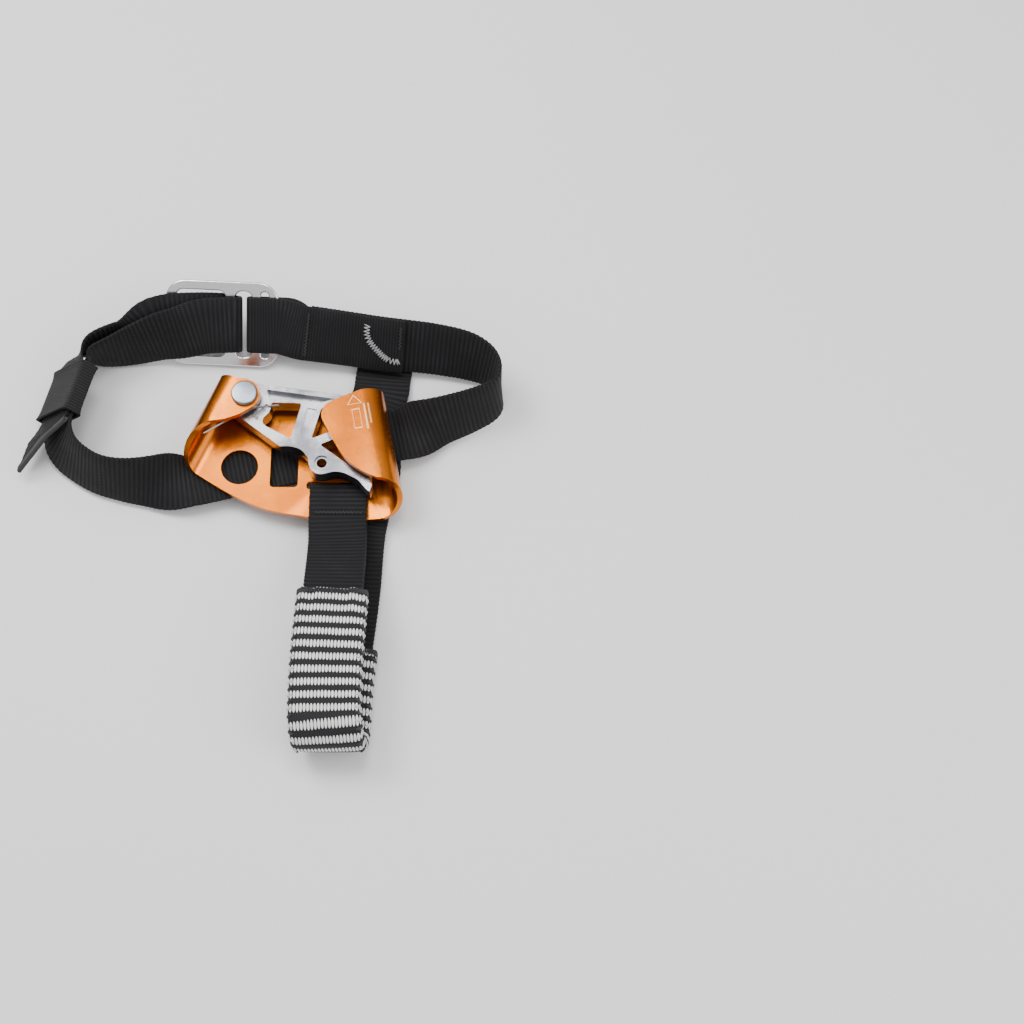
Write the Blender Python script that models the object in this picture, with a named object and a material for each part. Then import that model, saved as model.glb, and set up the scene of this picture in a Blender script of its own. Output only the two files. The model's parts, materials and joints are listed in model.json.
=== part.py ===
"""Foot ascender for the right foot: a rope clamp on a bent sheet frame, with its boot straps, lying flat.

Lengths are in metres. MM turns a size in millimetres into metres.
The clamp is drawn in plate coordinates: x to the right, y along the rope channel, z out of the plate's
front face. The straps are drawn in table coordinates: x right, y away from the viewer, z up.
"""

import math

import bmesh
import bpy
from mathutils import Matrix, Vector

MM = 0.001

# Clearances
GAP = 0.3 * MM
BORE_CLEARANCE = 0.12 * MM

# Where the clamp lies on the table
PLATE_LIFT = 10.5 * MM
PLATE_TILT = math.radians(3)
PLATE_ROLL = math.radians(11)

# Frame sheet
SHEET = 2.5 * MM
CHANNEL = 14 * MM
CHANNEL_FOLD_X = 37 * MM
PIVOT = Vector((-12.5, 21.6)) * MM
PIVOT_SETBACK = 6.3 * MM
PIVOT_FOLD_LEAN = math.radians(34.5)
TAB_END_RADIUS = 7.6 * MM
ROUND_HOLE_AT = Vector((-20.5, -4.5)) * MM
ROUND_HOLE_RADIUS = 8 * MM
SQUARE_HOLE_AT = Vector((-1.4, -8.0)) * MM
SQUARE_HOLE_WIDTH = 12 * MM
SQUARE_HOLE_HEIGHT = 19 * MM
WEB_SLOT_AT = Vector((20.4, -21.2)) * MM
WEB_SLOT_HEIGHT = 3.6 * MM
SEAT_DEPTH = 0.8 * MM
SEAT_RAMP = 2 * MM
SEAT_CORNER = Vector((2.9, -30.2)) * MM
SEAT_LEAN = math.radians(33)
SEAT_ABOVE_SLOT = 1.2 * MM
FOLD_STEPS = 14

# Pivot
SHANK_RADIUS = 3.0 * MM
HEAD_RADIUS = 5.7 * MM
HEAD_HEIGHT = 2.0 * MM
REAR_HEAD_RADIUS = 4.8 * MM
REAR_HEAD_HEIGHT = 1.4 * MM
BUSHING_WALL = 1.1 * MM
WASHER = 0.5 * MM
WASHER_RADIUS = 6.6 * MM
SPRING_WIRE = 0.8 * MM
SPRING_TURNS = 1.0

# Cam
CAM_BACK = 3.2 * MM
CAM_FRONT = 11.2 * MM
HUB_RADIUS = 8.1 * MM
BOSS_AT = Vector((14.9, -14.0)) * MM
BOSS_RADIUS = 5.5 * MM
BOSS_HOLE_RADIUS = 2.2 * MM
BOSS_SINK_RADIUS = 3.2 * MM
SINK_DEPTH = 1.0 * MM
TOOTH_PITCH = 2.0 * MM
TOOTH_DEPTH = 1.1 * MM
TEETH = 11

# Webbing and sleeve
WEB_WIDTH = 25 * MM
WEB = 1.8 * MM
SLEEVE_WIDTH = 29 * MM
SLEEVE_WALL = 1.0 * MM
SLEEVE_CORNER = 0.8 * MM
KEEPER_CORNER = 0.8 * MM
SLEEVE_FRONT = 69 * MM
SLEEVE_REAR = 50 * MM
HEM_LENGTH = 2.4 * MM
HEM_WALL = 0.6 * MM
KEEPER_WALL = 1.2 * MM
KEEPER_LENGTH = 24 * MM
KEEPER_PLAY = 0.7 * MM
TAIL_SLANT = 0.85
TAIL_SLANT_LENGTH = 17 * MM
TAIL_HEM_WIDTH = 3.2 * MM
TAIL_HEM_THICKNESS = 2.4 * MM
THREAD_GAP = 0.25 * MM
THREAD = 0.5 * MM
TACK_WIDTH = 3.0 * MM

# Buckle, a ladder of four bars: edges measured along the strap from its middle
BUCKLE_LENGTH = 51 * MM
BUCKLE_HEIGHT = 38 * MM
BUCKLE_SHEET = 2.0 * MM
BUCKLE_CORNER = 9 * MM
LEFT_SLOT = (-20.5 * MM, 1.5 * MM)
MIDDLE_SLOT = (6 * MM, 13.5 * MM)
RIGHT_SLOT = (17.5 * MM, 21 * MM)
BUCKLE_SLOT_HEIGHT = WEB_WIDTH + 4.6 * MM
BUCKLE_AT = Vector((-31, 59.4, 15.9)) * MM
BUCKLE_TURN = math.radians(-2)
BUCKLE_YAW = math.radians(3)
BUCKLE_RISE = math.radians(40)

LAYER = WEB + GAP

ORANGE = (0.80, 0.27, 0.03)
CHROME = (0.62, 0.62, 0.64)
STEEL = (0.45, 0.46, 0.49)
BRIGHT = (0.85, 0.85, 0.88)
BRONZE = (0.55, 0.38, 0.18)
BLACK = (0.012, 0.012, 0.014)
GREY = (0.38, 0.38, 0.40)
WHITE = (0.7, 0.7, 0.7)


# ---------------------------------------------------------------- scene and materials

def clear_scene():
    for old in list(bpy.data.objects):
        bpy.data.objects.remove(old, do_unlink=True)


def material(name, colour, roughness, metallic):
    made = bpy.data.materials.get(name) or bpy.data.materials.new(name)
    made.use_nodes = True
    shader = made.node_tree.nodes["Principled BSDF"]
    shader.inputs["Base Color"].default_value = (*colour, 1)
    shader.inputs["Roughness"].default_value = roughness
    shader.inputs["Metallic"].default_value = metallic
    return made


def empty(name, parent=None, matrix=None):
    made = bpy.data.objects.new(name, None)
    bpy.context.collection.objects.link(made)
    made.parent = parent
    if matrix is not None:
        made.matrix_local = matrix
    return made


def add(name, mesh_maker, parent, finish, at=None, smooth_angle=30):
    """Object NAME from a bmesh. Its origin goes to the point 'at', given in its parent's axes."""
    if at is not None:
        bmesh.ops.translate(mesh_maker, verts=mesh_maker.verts, vec=-Vector(at))
    bmesh.ops.recalc_face_normals(mesh_maker, faces=mesh_maker.faces)
    mesh = bpy.data.meshes.new(name)
    mesh_maker.to_mesh(mesh)
    mesh_maker.free()
    made = bpy.data.objects.new(name, mesh)
    bpy.context.collection.objects.link(made)
    made.parent = parent
    if at is not None:
        made.location = at
    if finish is not None:
        mesh.materials.append(finish)
    mesh.shade_smooth()
    mesh.set_sharp_from_angle(angle=math.radians(smooth_angle))
    return made


def boolean(target, cutter, operation="DIFFERENCE"):
    cutter.hide_render = True
    cutter.display_type = "WIRE"
    step = target.modifiers.new(operation.lower(), "BOOLEAN")
    step.operation = operation
    step.solver = "EXACT"
    step.object = cutter


# ---------------------------------------------------------------- outlines and solids

def curve_through(points, steps=4, closed=False):
    """Smooth points through the given ones (Catmull-Rom), as vectors of any size."""
    points = [Vector(p) for p in points]
    count = len(points)
    spans = count if closed else count - 1
    found = []
    for i in range(spans):
        if closed:
            a, b, c, d = (points[(i + k) % count] for k in (-1, 0, 1, 2))
        else:
            b, c = points[i], points[i + 1]
            a = points[i - 1] if i else b * 2 - c
            d = points[i + 2] if i + 2 < count else c * 2 - b
        for k in range(steps):
            t = k / steps
            found.append(
                0.5 * (2 * b + (c - a) * t + (2 * a - 5 * b + 4 * c - d) * t**2
                       + (3 * b - a - 3 * c + d) * t**3)
            )
    if not closed:
        found.append(points[-1])
    return found


def arc(centre, radius, start, end, steps):
    """Points on an arc, with angles in degrees; both ends are included."""
    angles = [math.radians(start + (end - start) * i / steps) for i in range(steps + 1)]
    return [Vector((centre[0] + radius * math.cos(a), centre[1] + radius * math.sin(a))) for a in angles]


def circle(centre, radius, steps=32):
    return arc(centre, radius, 0, 360, steps)[:-1]


def rounded_box(centre, width, height, corner, turn=0.0, steps=4):
    """Outline of a box with round corners, turned about its centre."""
    points = []
    for sx, sy, start in ((1, 1, 0), (-1, 1, 90), (-1, -1, 180), (1, -1, 270)):
        middle = (sx * (width / 2 - corner), sy * (height / 2 - corner))
        points += arc(middle, corner, start, start + 90, steps)
    spin = Matrix.Rotation(turn, 2)
    return [Vector(centre) + spin @ p for p in points]


def rounded_polygon(corners, radius, steps=3):
    """The polygon with each corner replaced by a short curve that starts 'radius' before it."""
    points = []
    for i, corner in enumerate(corners):
        before, after = Vector(corners[i - 1]), Vector(corners[(i + 1) % len(corners)])
        corner = Vector(corner)
        start = corner + (before - corner).normalized() * radius
        end = corner + (after - corner).normalized() * radius
        for k in range(steps + 1):
            t = k / steps
            points.append(start * (1 - t) ** 2 + corner * 2 * t * (1 - t) + end * t**2)
    return points


def slab(outline, low, high, holes=()):
    """Straight-walled solid between two heights, with holes that go through it."""
    mesh = bmesh.new()
    edges = []
    for loop in (outline, *holes):
        verts = [mesh.verts.new((p[0], p[1], high)) for p in loop]
        edges += [mesh.edges.new((verts[i - 1], verts[i])) for i in range(len(verts))]
    bmesh.ops.triangle_fill(mesh, use_beauty=True, edges=edges)
    top = list(mesh.faces)
    result = bmesh.ops.extrude_face_region(mesh, geom=top)
    moved = [g for g in result["geom"] if isinstance(g, bmesh.types.BMVert)]
    bmesh.ops.translate(mesh, verts=moved, vec=(0, 0, low - high))
    return mesh


def turned(profile, centre=(0, 0), steps=40):
    """Solid of revolution about the z axis through 'centre', from a closed (radius, height) profile."""
    mesh = bmesh.new()
    rings = []
    for radius, height in profile:
        if radius < 1e-7:
            rings.append([mesh.verts.new((centre[0], centre[1], height))])
            continue
        rings.append([mesh.verts.new((p[0], p[1], height)) for p in circle(centre, radius, steps)])
    for lower, upper in zip(rings, rings[1:] + rings[:1]):
        for i in range(steps):
            corners = [lower[i - 1 if len(lower) > 1 else 0], lower[i if len(lower) > 1 else 0],
                       upper[i if len(upper) > 1 else 0], upper[i - 1 if len(upper) > 1 else 0]]
            corners = [v for k, v in enumerate(corners) if v not in corners[:k]]
            if len(corners) > 2:
                mesh.faces.new(corners)
    return mesh


# ---------------------------------------------------------------- bands that follow a route

class Station:
    """A place on a band: its middle, the direction across it and its normal."""

    def __init__(self, middle, across, normal):
        self.middle = middle
        self.across = across
        self.normal = normal

    def point(self, sideways, lift):
        return self.middle + self.across * sideways + self.normal * lift


def stations(route, steps=5):
    """Stations along a route of rows (x, y, z, across x, y, z, lift), the first three and the lift in mm."""
    rows = curve_through([Vector(row if len(row) == 7 else (*row, 0)) for row in route], steps)
    middles = [Vector(row[:3]) * MM for row in rows]
    found = []
    for i, row in enumerate(rows):
        along = (middles[min(i + 1, len(rows) - 1)] - middles[max(i - 1, 0)]).normalized()
        across = Vector(row[3:6])
        across = (across - along * across.dot(along)).normalized()
        normal = along.cross(across)
        found.append(Station(middles[i] + normal * row[6] * MM, across, normal))
    return found


class Strip:
    """A band's stations with the distance of each from the first."""

    def __init__(self, found):
        self.stations = found
        self.distances = [0.0]
        for near, far in zip(found, found[1:]):
            self.distances.append(self.distances[-1] + (far.middle - near.middle).length)
        self.length = self.distances[-1]

    def at(self, distance):
        """The station at a distance; past the end it goes straight on."""
        if distance > self.length:
            end = self.stations[-1]
            along = end.across.cross(end.normal)
            return Station(end.middle + along * (distance - self.length), end.across, end.normal)
        distance = max(0.0, distance)
        i = next(k for k in range(1, len(self.stations)) if self.distances[k] >= distance - 1e-9)
        share = (distance - self.distances[i - 1]) / (self.distances[i] - self.distances[i - 1])
        near, far = self.stations[i - 1], self.stations[i]
        return Station(near.middle.lerp(far.middle, share), near.across.lerp(far.across, share).normalized(),
                       near.normal.lerp(far.normal, share).normalized())

    def between(self, start, end, count):
        return [self.at(start + (end - start) * i / count) for i in range(count + 1)]

    def nearest(self, measure):
        """Distance of the station with the lowest measure of its middle."""
        best = min(range(len(self.stations)), key=lambda i: measure(self.stations[i].middle))
        return self.distances[best]


def band(route_stations, section, slant=0.0, slant_length=1.0):
    """Closed solid that carries a closed section of (sideways, lift) points along the stations.

    With a slant, the last edge is cut on the bias: the side with the positive offset ends earlier.
    """
    mesh = bmesh.new()
    strip = Strip(route_stations)
    rings = []
    for i, station in enumerate(route_stations):
        share = max(0.0, 1 - (strip.length - strip.distances[i]) / slant_length) * slant
        ring_points = []
        for sideways, lift in section:
            place = strip.at(strip.distances[i] - sideways * share) if share else station
            ring_points.append(mesh.verts.new(place.point(sideways, lift)))
        rings.append(ring_points)
    for near, far in zip(rings, rings[1:]):
        for i in range(len(section)):
            mesh.faces.new((near[i - 1], near[i], far[i], far[i - 1]))
    mesh.faces.new(rings[0])
    mesh.faces.new(list(reversed(rings[-1])))
    return mesh


def thread_run(strip, path, width):
    """Raised stitching on a band: a path of (distance, sideways) points, on the side the normals point to."""
    mesh = bmesh.new()
    low = WEB / 2 + THREAD_GAP
    rings = []
    for i, point in enumerate(path):
        ahead = path[min(i + 1, len(path) - 1)] - path[max(i - 1, 0)]
        side = Vector((-ahead.y, ahead.x)).normalized() * width / 2
        ring_points = []
        for sign, lift in ((-1, low), (1, low), (1, low + THREAD), (-1, low + THREAD)):
            place = point + side * sign
            ring_points.append(mesh.verts.new(strip.at(place.x).point(place.y, lift)))
        rings.append(ring_points)
    for near, far in zip(rings, rings[1:]):
        for i in range(4):
            mesh.faces.new((near[i - 1], near[i], far[i], far[i - 1]))
    mesh.faces.new(rings[0])
    mesh.faces.new(list(reversed(rings[-1])))
    return mesh


def flat_section(width, thickness):
    w, t = width / 2, thickness / 2
    return [(-w, -t), (w, -t), (w, t), (-w, t)]


def tube_band(route_stations, width, height, wall, corner):
    """Flat tube, open at both ends, that follows the stations; corner is the radius inside it."""
    mesh = bmesh.new()
    outer = rounded_box((0, 0), width, height, corner + wall, steps=2)
    inner = rounded_box((0, 0), width - 2 * wall, height - 2 * wall, corner, steps=2)
    outer_rings = [[mesh.verts.new(s.point(*p)) for p in outer] for s in route_stations]
    inner_rings = [[mesh.verts.new(s.point(*p)) for p in inner] for s in route_stations]
    count = len(outer)
    for rings in (outer_rings, inner_rings):
        for near, far in zip(rings, rings[1:]):
            for i in range(count):
                mesh.faces.new((near[i - 1], near[i], far[i], far[i - 1]))
    for end in (0, -1):
        for i in range(count):
            mesh.faces.new((outer_rings[end][i - 1], outer_rings[end][i],
                            inner_rings[end][i], inner_rings[end][i - 1]))
    return mesh


# ---------------------------------------------------------------- frame

FOLD_MIDDLE = CHANNEL / 2 + SHEET / 2
FOLD_LENGTH = math.pi * FOLD_MIDDLE
LEFT_OUT = Vector((-math.cos(PIVOT_FOLD_LEAN), math.sin(PIVOT_FOLD_LEAN)))
LEFT_ALONG = Vector((math.sin(PIVOT_FOLD_LEAN), math.cos(PIVOT_FOLD_LEAN)))
LEFT_FOLD_AT = PIVOT + LEFT_OUT * PIVOT_SETBACK
SLOT_TURN = -PLATE_ROLL
SLOT_UP = Vector((math.sin(PLATE_ROLL), math.cos(PLATE_ROLL)))


def beyond_left_fold(point):
    return (Vector(point) - LEFT_FOLD_AT).dot(LEFT_OUT)


def on_left_fold(y):
    """The point of the left fold line at height y."""
    return LEFT_FOLD_AT + LEFT_ALONG * ((y - LEFT_FOLD_AT.y) / LEFT_ALONG.y)


def unfold_left(point):
    """Where a point of the pivot tab lies on the flat sheet."""
    point = Vector(point)
    return point + LEFT_OUT * (FOLD_LENGTH - 2 * beyond_left_fold(point))


def unfold_right(point):
    """Where a point of the channel flap lies on the flat sheet."""
    return Vector((2 * CHANNEL_FOLD_X + FOLD_LENGTH - point[0], point[1]))


def bent(x, y, z):
    """The place of a point of the flat sheet once both folds and the webbing seat are pressed."""
    flat = Vector((x, y))
    out_right = x - CHANNEL_FOLD_X
    out_left = beyond_left_fold(flat)
    if out_right > 0:
        out, away, start = out_right, Vector((1, 0)), Vector((CHANNEL_FOLD_X, y))
    elif out_left > 0:
        out, away, start = out_left, LEFT_OUT, flat - LEFT_OUT * out_left
    else:
        return Vector((x, y, z - seat_depth(flat)))
    radius = CHANNEL / 2 - z
    if out < FOLD_LENGTH:
        angle = out / FOLD_MIDDLE
        place = start + away * radius * math.sin(angle)
        return Vector((*place, CHANNEL / 2 - radius * math.cos(angle)))
    place = start - away * (out - FOLD_LENGTH)
    return Vector((*place, CHANNEL / 2 + radius))


def seat_top():
    """A point of the seat's upper edge, which runs along the webbing slot."""
    return WEB_SLOT_AT + SLOT_UP * (WEB_SLOT_HEIGHT / 2 + SEAT_ABOVE_SLOT + SEAT_RAMP)


def seat_depth(flat):
    """Depth of the pressed seat that the webbing lies in, to the right of a leaning line."""
    right_of_line = (flat - SEAT_CORNER).dot(Vector((math.cos(SEAT_LEAN), -math.sin(SEAT_LEAN))))
    left_of_fold = CHANNEL_FOLD_X - flat.x
    below_edge = (seat_top() - flat).dot(SLOT_UP)
    share = max(0.0, min(1.0, right_of_line / SEAT_RAMP, left_of_fold / SEAT_RAMP, below_edge / SEAT_RAMP))
    return SEAT_DEPTH * share


def s_cut(start, end, out, along, delay=1.0, steps=12):
    """The sheet's edge across a fold: it eases from one edge line into the other, later with more delay."""
    points = []
    for i in range(1, steps):
        t = i / steps
        late = t**delay
        ease = 0.35 * late + 0.65 * late * late * (3 - 2 * late)
        points.append(start + out * FOLD_LENGTH * t + along * (end - start).dot(along) * ease)
    return points


def frame_outline():
    mm = MM
    left_low = on_left_fold(-5 * mm)
    left_high = on_left_fold(11.8 * mm)
    bottom = curve_through([p * mm if i else p for i, p in enumerate(
        [left_low, Vector((-32.2, -11)), Vector((-26.4, -16.3)), Vector((-20.5, -20.9)),
         Vector((-14.6, -24.9)), Vector((-8.5, -28)), Vector((-2.4, -30.4)), Vector((4, -32.6)),
         Vector((17, -36.2)), Vector((30, -38.9))])], 3)
    right_low = Vector((CHANNEL_FOLD_X, -39.8 * mm))
    flap_low = Vector((CHANNEL_FOLD_X, -27.6 * mm))
    flap = curve_through([Vector(p) * mm for p in (
        (32.3, -24.5), (28.6, -21), (25.8, -17.2), (23.5, -12.9), (22, -8.8), (20.6, -4.3), (18.9, 1.3),
        (18.2, 4.5), (18.9, 7.6), (21.1, 10.2), (25.3, 11.8), (30.6, 13), (36, 14.2))], 3)
    right_high = Vector((CHANNEL_FOLD_X, 15 * mm))
    left_top = on_left_fold(30 * mm)
    tab_middle = PIVOT + Vector((-1.1, 0.2)) * mm
    tab_end = arc(tab_middle, TAB_END_RADIUS, 85, -75, 14)
    tab_low = curve_through([tab_end[-1], *(Vector(p) * mm for p in ((-16.4, 12.7), (-22.4, 11.6)))], 3)[1:]

    along_right = Vector((0, 1))
    points = bottom + [right_low]
    points += s_cut(right_low, unfold_right(flap_low), Vector((1, 0)), along_right)
    points += [unfold_right(flap_low)] + [unfold_right(p) for p in flap]
    flap_top = unfold_right((CHANNEL_FOLD_X, 14.4 * mm))
    points += [flap_top]
    points += [flap_top + (right_high - flap_top) * i / 6 for i in range(1, 6)]
    points += [right_high, left_top]
    far_top = left_top + LEFT_OUT * FOLD_LENGTH
    points += [left_top + (far_top - left_top) * i / 6 for i in range(1, 7)]
    points += [unfold_left(p) for p in tab_end + tab_low]
    low_start = left_high + LEFT_OUT * FOLD_LENGTH
    points += [low_start]
    points += list(reversed(s_cut(left_low, low_start, LEFT_OUT, LEFT_ALONG, 1.35)))
    return points


def make_frame(axes, finish):
    slot_width = WEB_WIDTH + 3 * MM
    shank_hole = SHANK_RADIUS + BORE_CLEARANCE
    holes = [
        circle(ROUND_HOLE_AT, ROUND_HOLE_RADIUS, 40),
        rounded_box(SQUARE_HOLE_AT, SQUARE_HOLE_WIDTH, SQUARE_HOLE_HEIGHT, 1.5 * MM, SLOT_TURN),
        rounded_box(WEB_SLOT_AT, slot_width, WEB_SLOT_HEIGHT, WEB_SLOT_HEIGHT * 0.45, SLOT_TURN),
        circle(PIVOT, shank_hole, 24),
        circle(unfold_left(PIVOT), shank_hole, 24),
    ]
    mesh = slab(frame_outline(), -SHEET, 0, holes)
    cut_lines = []
    for i in range(FOLD_STEPS + 1):
        out = FOLD_LENGTH * i / FOLD_STEPS
        cut_lines.append((Vector((CHANNEL_FOLD_X + out, 0)), Vector((1, 0))))
        cut_lines.append((LEFT_FOLD_AT + LEFT_OUT * out, LEFT_OUT))
    seat_out = Vector((math.cos(SEAT_LEAN), -math.sin(SEAT_LEAN)))
    cut_lines.append((SEAT_CORNER, seat_out))
    cut_lines.append((SEAT_CORNER + seat_out * SEAT_RAMP, seat_out))
    cut_lines.append((Vector((CHANNEL_FOLD_X - SEAT_RAMP, 0)), Vector((1, 0))))
    cut_lines.append((seat_top(), SLOT_UP))
    cut_lines.append((seat_top() - SLOT_UP * SEAT_RAMP, SLOT_UP))
    for place, normal in cut_lines:
        geometry = list(mesh.verts) + list(mesh.edges) + list(mesh.faces)
        bmesh.ops.bisect_plane(mesh, geom=geometry, dist=1e-7, plane_co=(*place, 0), plane_no=(*normal, 0))
    bmesh.ops.triangulate(mesh, faces=mesh.faces)
    for vert in mesh.verts:
        vert.co = bent(*vert.co)
    return add("frame", mesh, axes, finish, smooth_angle=40)


# ---------------------------------------------------------------- pivot

TAB_INNER = CHANNEL
TAB_OUTER = CHANNEL + SHEET
BUSHING_RADIUS = SHANK_RADIUS + BORE_CLEARANCE + BUSHING_WALL
HUB_BORE = BUSHING_RADIUS + BORE_CLEARANCE
PIVOT_POINT = (*PIVOT, 0)
FRONT_WASHER_BACK = TAB_INNER - GAP - WASHER


def make_rivet(axes, finish):
    back = -SHEET - GAP - REAR_HEAD_HEIGHT
    front = TAB_OUTER + GAP
    profile = [(0, back), (REAR_HEAD_RADIUS * 0.8, back), (REAR_HEAD_RADIUS, back + REAR_HEAD_HEIGHT * 0.5),
               (REAR_HEAD_RADIUS, -SHEET - GAP), (SHANK_RADIUS, -SHEET - GAP), (SHANK_RADIUS, front),
               (HEAD_RADIUS, front), (HEAD_RADIUS, front + HEAD_HEIGHT * 0.55)]
    for i in range(1, 5):
        angle = math.radians(90 * i / 4)
        profile.append((HEAD_RADIUS * (0.86 + 0.14 * math.cos(angle)) * (1 if i < 4 else 0.98),
                        front + HEAD_HEIGHT * (0.55 + 0.37 * math.sin(angle))))
    profile.append((0, front + HEAD_HEIGHT))
    return add("pivot_rivet", turned(profile, PIVOT, 24), axes, finish, PIVOT_POINT)


def ring(name, axes, finish, inner, outer, low, high, steps=40):
    profile = [(inner, low), (outer, low), (outer, high), (inner, high)]
    return add(name, turned(profile, PIVOT, steps), axes, finish, PIVOT_POINT)


SPRING_LEG_ANGLE = -62


def make_spring(axes, finish):
    """Torsion spring in front of the hub: one leg in the left fold, one hooked into the cam's window."""
    wire = SPRING_WIRE / 2
    coil = BUSHING_RADIUS + wire + 2 * GAP
    low = CAM_FRONT + GAP / 2 + wire
    rise = SPRING_WIRE + 0.1 * MM
    cam_leg_angle, turns = SPRING_LEG_ANGLE, SPRING_TURNS
    points = []
    hook = Vector((1.3, 15.9)) * MM
    points += [(*hook, low - 2.2 * MM), (*hook, low - 0.6 * MM), (*(hook + Vector((-0.6, 0)) * MM), low)]
    steps = round(turns * 20)
    for i in range(steps + 1):
        angle = math.radians(cam_leg_angle + 360 * turns * i / steps)
        place = PIVOT + Vector((math.cos(angle), math.sin(angle))) * coil
        points.append((*place, low + rise * turns * i / steps))
    wall_end = Vector((-32.6, 8.6)) * MM
    last = Vector(points[-1][:2])
    top = points[-1][2]
    points += [(*(last + (wall_end - last) * t), top - 0.3 * MM * t) for t in (0.35, 0.7, 1.0)]
    data = bpy.data.curves.new("cam_spring", "CURVE")
    data.dimensions = "3D"
    data.bevel_depth = wire
    data.bevel_resolution = 1
    data.use_fill_caps = True
    spline = data.splines.new("POLY")
    spline.points.add(len(points) - 1)
    centre = Vector(PIVOT_POINT)
    for target, point in zip(spline.points, points):
        target.co = (*(Vector(point) - centre), 1)
    data.materials.append(finish)
    made = bpy.data.objects.new("cam_spring", data)
    bpy.context.collection.objects.link(made)
    made.parent = axes
    made.location = centre
    return made


# ---------------------------------------------------------------- cam

TIP = Vector((34.3, -28.6)) * MM


def tangent_from_hub(target, side):
    """The hub's rim point where a straight rib edge to 'target' leaves it."""
    to = Vector(target) - PIVOT
    angle = math.atan2(to.y, to.x) + side * math.acos(HUB_RADIUS / to.length)
    return PIVOT + Vector((math.cos(angle), math.sin(angle))) * HUB_RADIUS


def cam_teeth(start, end):
    """Saw teeth down the gripping face; each rises slowly and drops back square, hooked against the rope."""
    points = []
    step = (end - start) / TEETH
    inward = Vector((step.y, -step.x)).normalized()
    for i in range(TEETH):
        bow = math.sin(math.pi * (i + 0.5) / TEETH) * 0.3 * MM
        root = start + step * i + inward * (TOOTH_DEPTH - bow)
        tip = start + step * (i + 0.82) - inward * bow
        points += [root, tip]
    return points


def cam_outline():
    rail_end = Vector((30.4, 15.3)) * MM
    elbow = Vector((-1.4, -3.2)) * MM
    top = tangent_from_hub(rail_end, 1)
    low = tangent_from_hub(elbow, -1)
    start = math.degrees(math.atan2(*(top - PIVOT).yx))
    end = math.degrees(math.atan2(*(low - PIVOT).yx)) % 360
    hub = arc(PIVOT, HUB_RADIUS, start, end, 18)
    below = curve_through([elbow, Vector((2.8, -4.0)) * MM, Vector((7.1, -6.4)) * MM,
                           Vector((9.5, -10.6)) * MM], 3)
    boss = arc(BOSS_AT, BOSS_RADIUS, 175, 285, 8)
    arm = curve_through([Vector(p) * MM for p in (
        (19.4, -19.2), (22.8, -20.2), (25.9, -22.4), (29, -25.2), (31.6, -29.8), (32.8, -31.2))], 2)
    face_top = Vector((35.6, -6.5)) * MM
    teeth = list(reversed(cam_teeth(face_top, TIP)))
    face = curve_through([face_top, Vector((35.4, 2)) * MM, Vector((34.2, 9.6)) * MM,
                          Vector((32.6, 13.6)) * MM, rail_end], 3)
    return hub + below + boss + arm + teeth + face


def cam_windows():
    upper = [Vector(p) * MM for p in ((-2.0, 18.0), (10.9, 15.2), (3.6, -0.6), (-7.2, 8.4), (-7.0, 11.2), (-3.4, 13.6))]
    right = [Vector(p) * MM for p in ((19.0, 11.6), (12.2, -2.3), (30.9, 1.6), (29.6, 8.8))]
    lower = [Vector(p) * MM for p in ((15.4, -5.6), (24.0, -15.2), (30.2, -21.2), (31.2, -10), (31.0, -2.2))]
    return [rounded_polygon(upper, 1.3 * MM), rounded_polygon(right, 1.4 * MM),
            rounded_polygon(lower, 1.4 * MM)]


def make_cam(axes, finish):
    holes = cam_windows() + [circle(PIVOT, HUB_BORE, 40), circle(BOSS_AT, BOSS_HOLE_RADIUS, 24)]
    cam = add("cam", slab(cam_outline(), CAM_BACK, CAM_FRONT, holes), axes, finish, PIVOT_POINT)
    cutters = [
        ("cam_boss_sink", slab(circle(BOSS_AT, BOSS_SINK_RADIUS, 24), CAM_FRONT - SINK_DEPTH, CAM_FRONT + MM)),
        ("cam_rail_groove", slab(rounded_polygon([Vector(p) * MM for p in (
            (-3.2, 24.6), (25.6, 14.4), (19.0, 13.9), (-2.4, 20.4))], 0.9 * MM), CAM_FRONT - 3 * MM, CAM_FRONT + MM)),
        ("cam_hub_pocket", slab(rounded_polygon([Vector(p) * MM for p in (
            (-4.4, 18.0), (-3.2, 17.0), (-4.9, 14.4), (-8.3, 12.0), (-8.7, 10.6), (-10.8, 12.4), (-10.6, 13.7),
            (-6.6, 15.9))], 0.5 * MM), CAM_FRONT - 2 * MM, CAM_FRONT + MM)),
        ("cam_strut_sink", slab(rounded_polygon([Vector(p) * MM for p in (
            (12.7, 12.7), (17.2, 10.7), (10.6, -0.6), (8.0, 0.9))], 1.2 * MM), CAM_FRONT - 0.6 * MM, CAM_FRONT + MM)),
    ]
    for name, mesh in cutters:
        boolean(cam, add(name, mesh, axes, None))
    hub_back = GAP + WASHER + GAP
    profile = [(HUB_BORE + 0.02 * MM, hub_back), (HUB_RADIUS - 1.5 * MM, hub_back),
               (HUB_RADIUS - 1.5 * MM, CAM_BACK + MM), (HUB_BORE + 0.02 * MM, CAM_BACK + MM)]
    boolean(cam, add("cam_hub_back", turned(profile, PIVOT, 40), axes, None), "UNION")
    return cam


# ---------------------------------------------------------------- straps

LX = Vector((math.cos(PLATE_ROLL), math.sin(PLATE_ROLL) * math.cos(PLATE_TILT),
             math.sin(PLATE_ROLL) * math.sin(PLATE_TILT)))
LY = Vector((-math.sin(PLATE_ROLL), math.cos(PLATE_ROLL) * math.cos(PLATE_TILT),
             math.cos(PLATE_ROLL) * math.sin(PLATE_TILT)))
LZ = LX.cross(LY)


def on_plate(x, y, z):
    """Table coordinates, in mm, of a point given in plate coordinates in mm."""
    return LX * x + LY * y + LZ * z + Vector((0, 0, PLATE_LIFT / MM))


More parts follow.
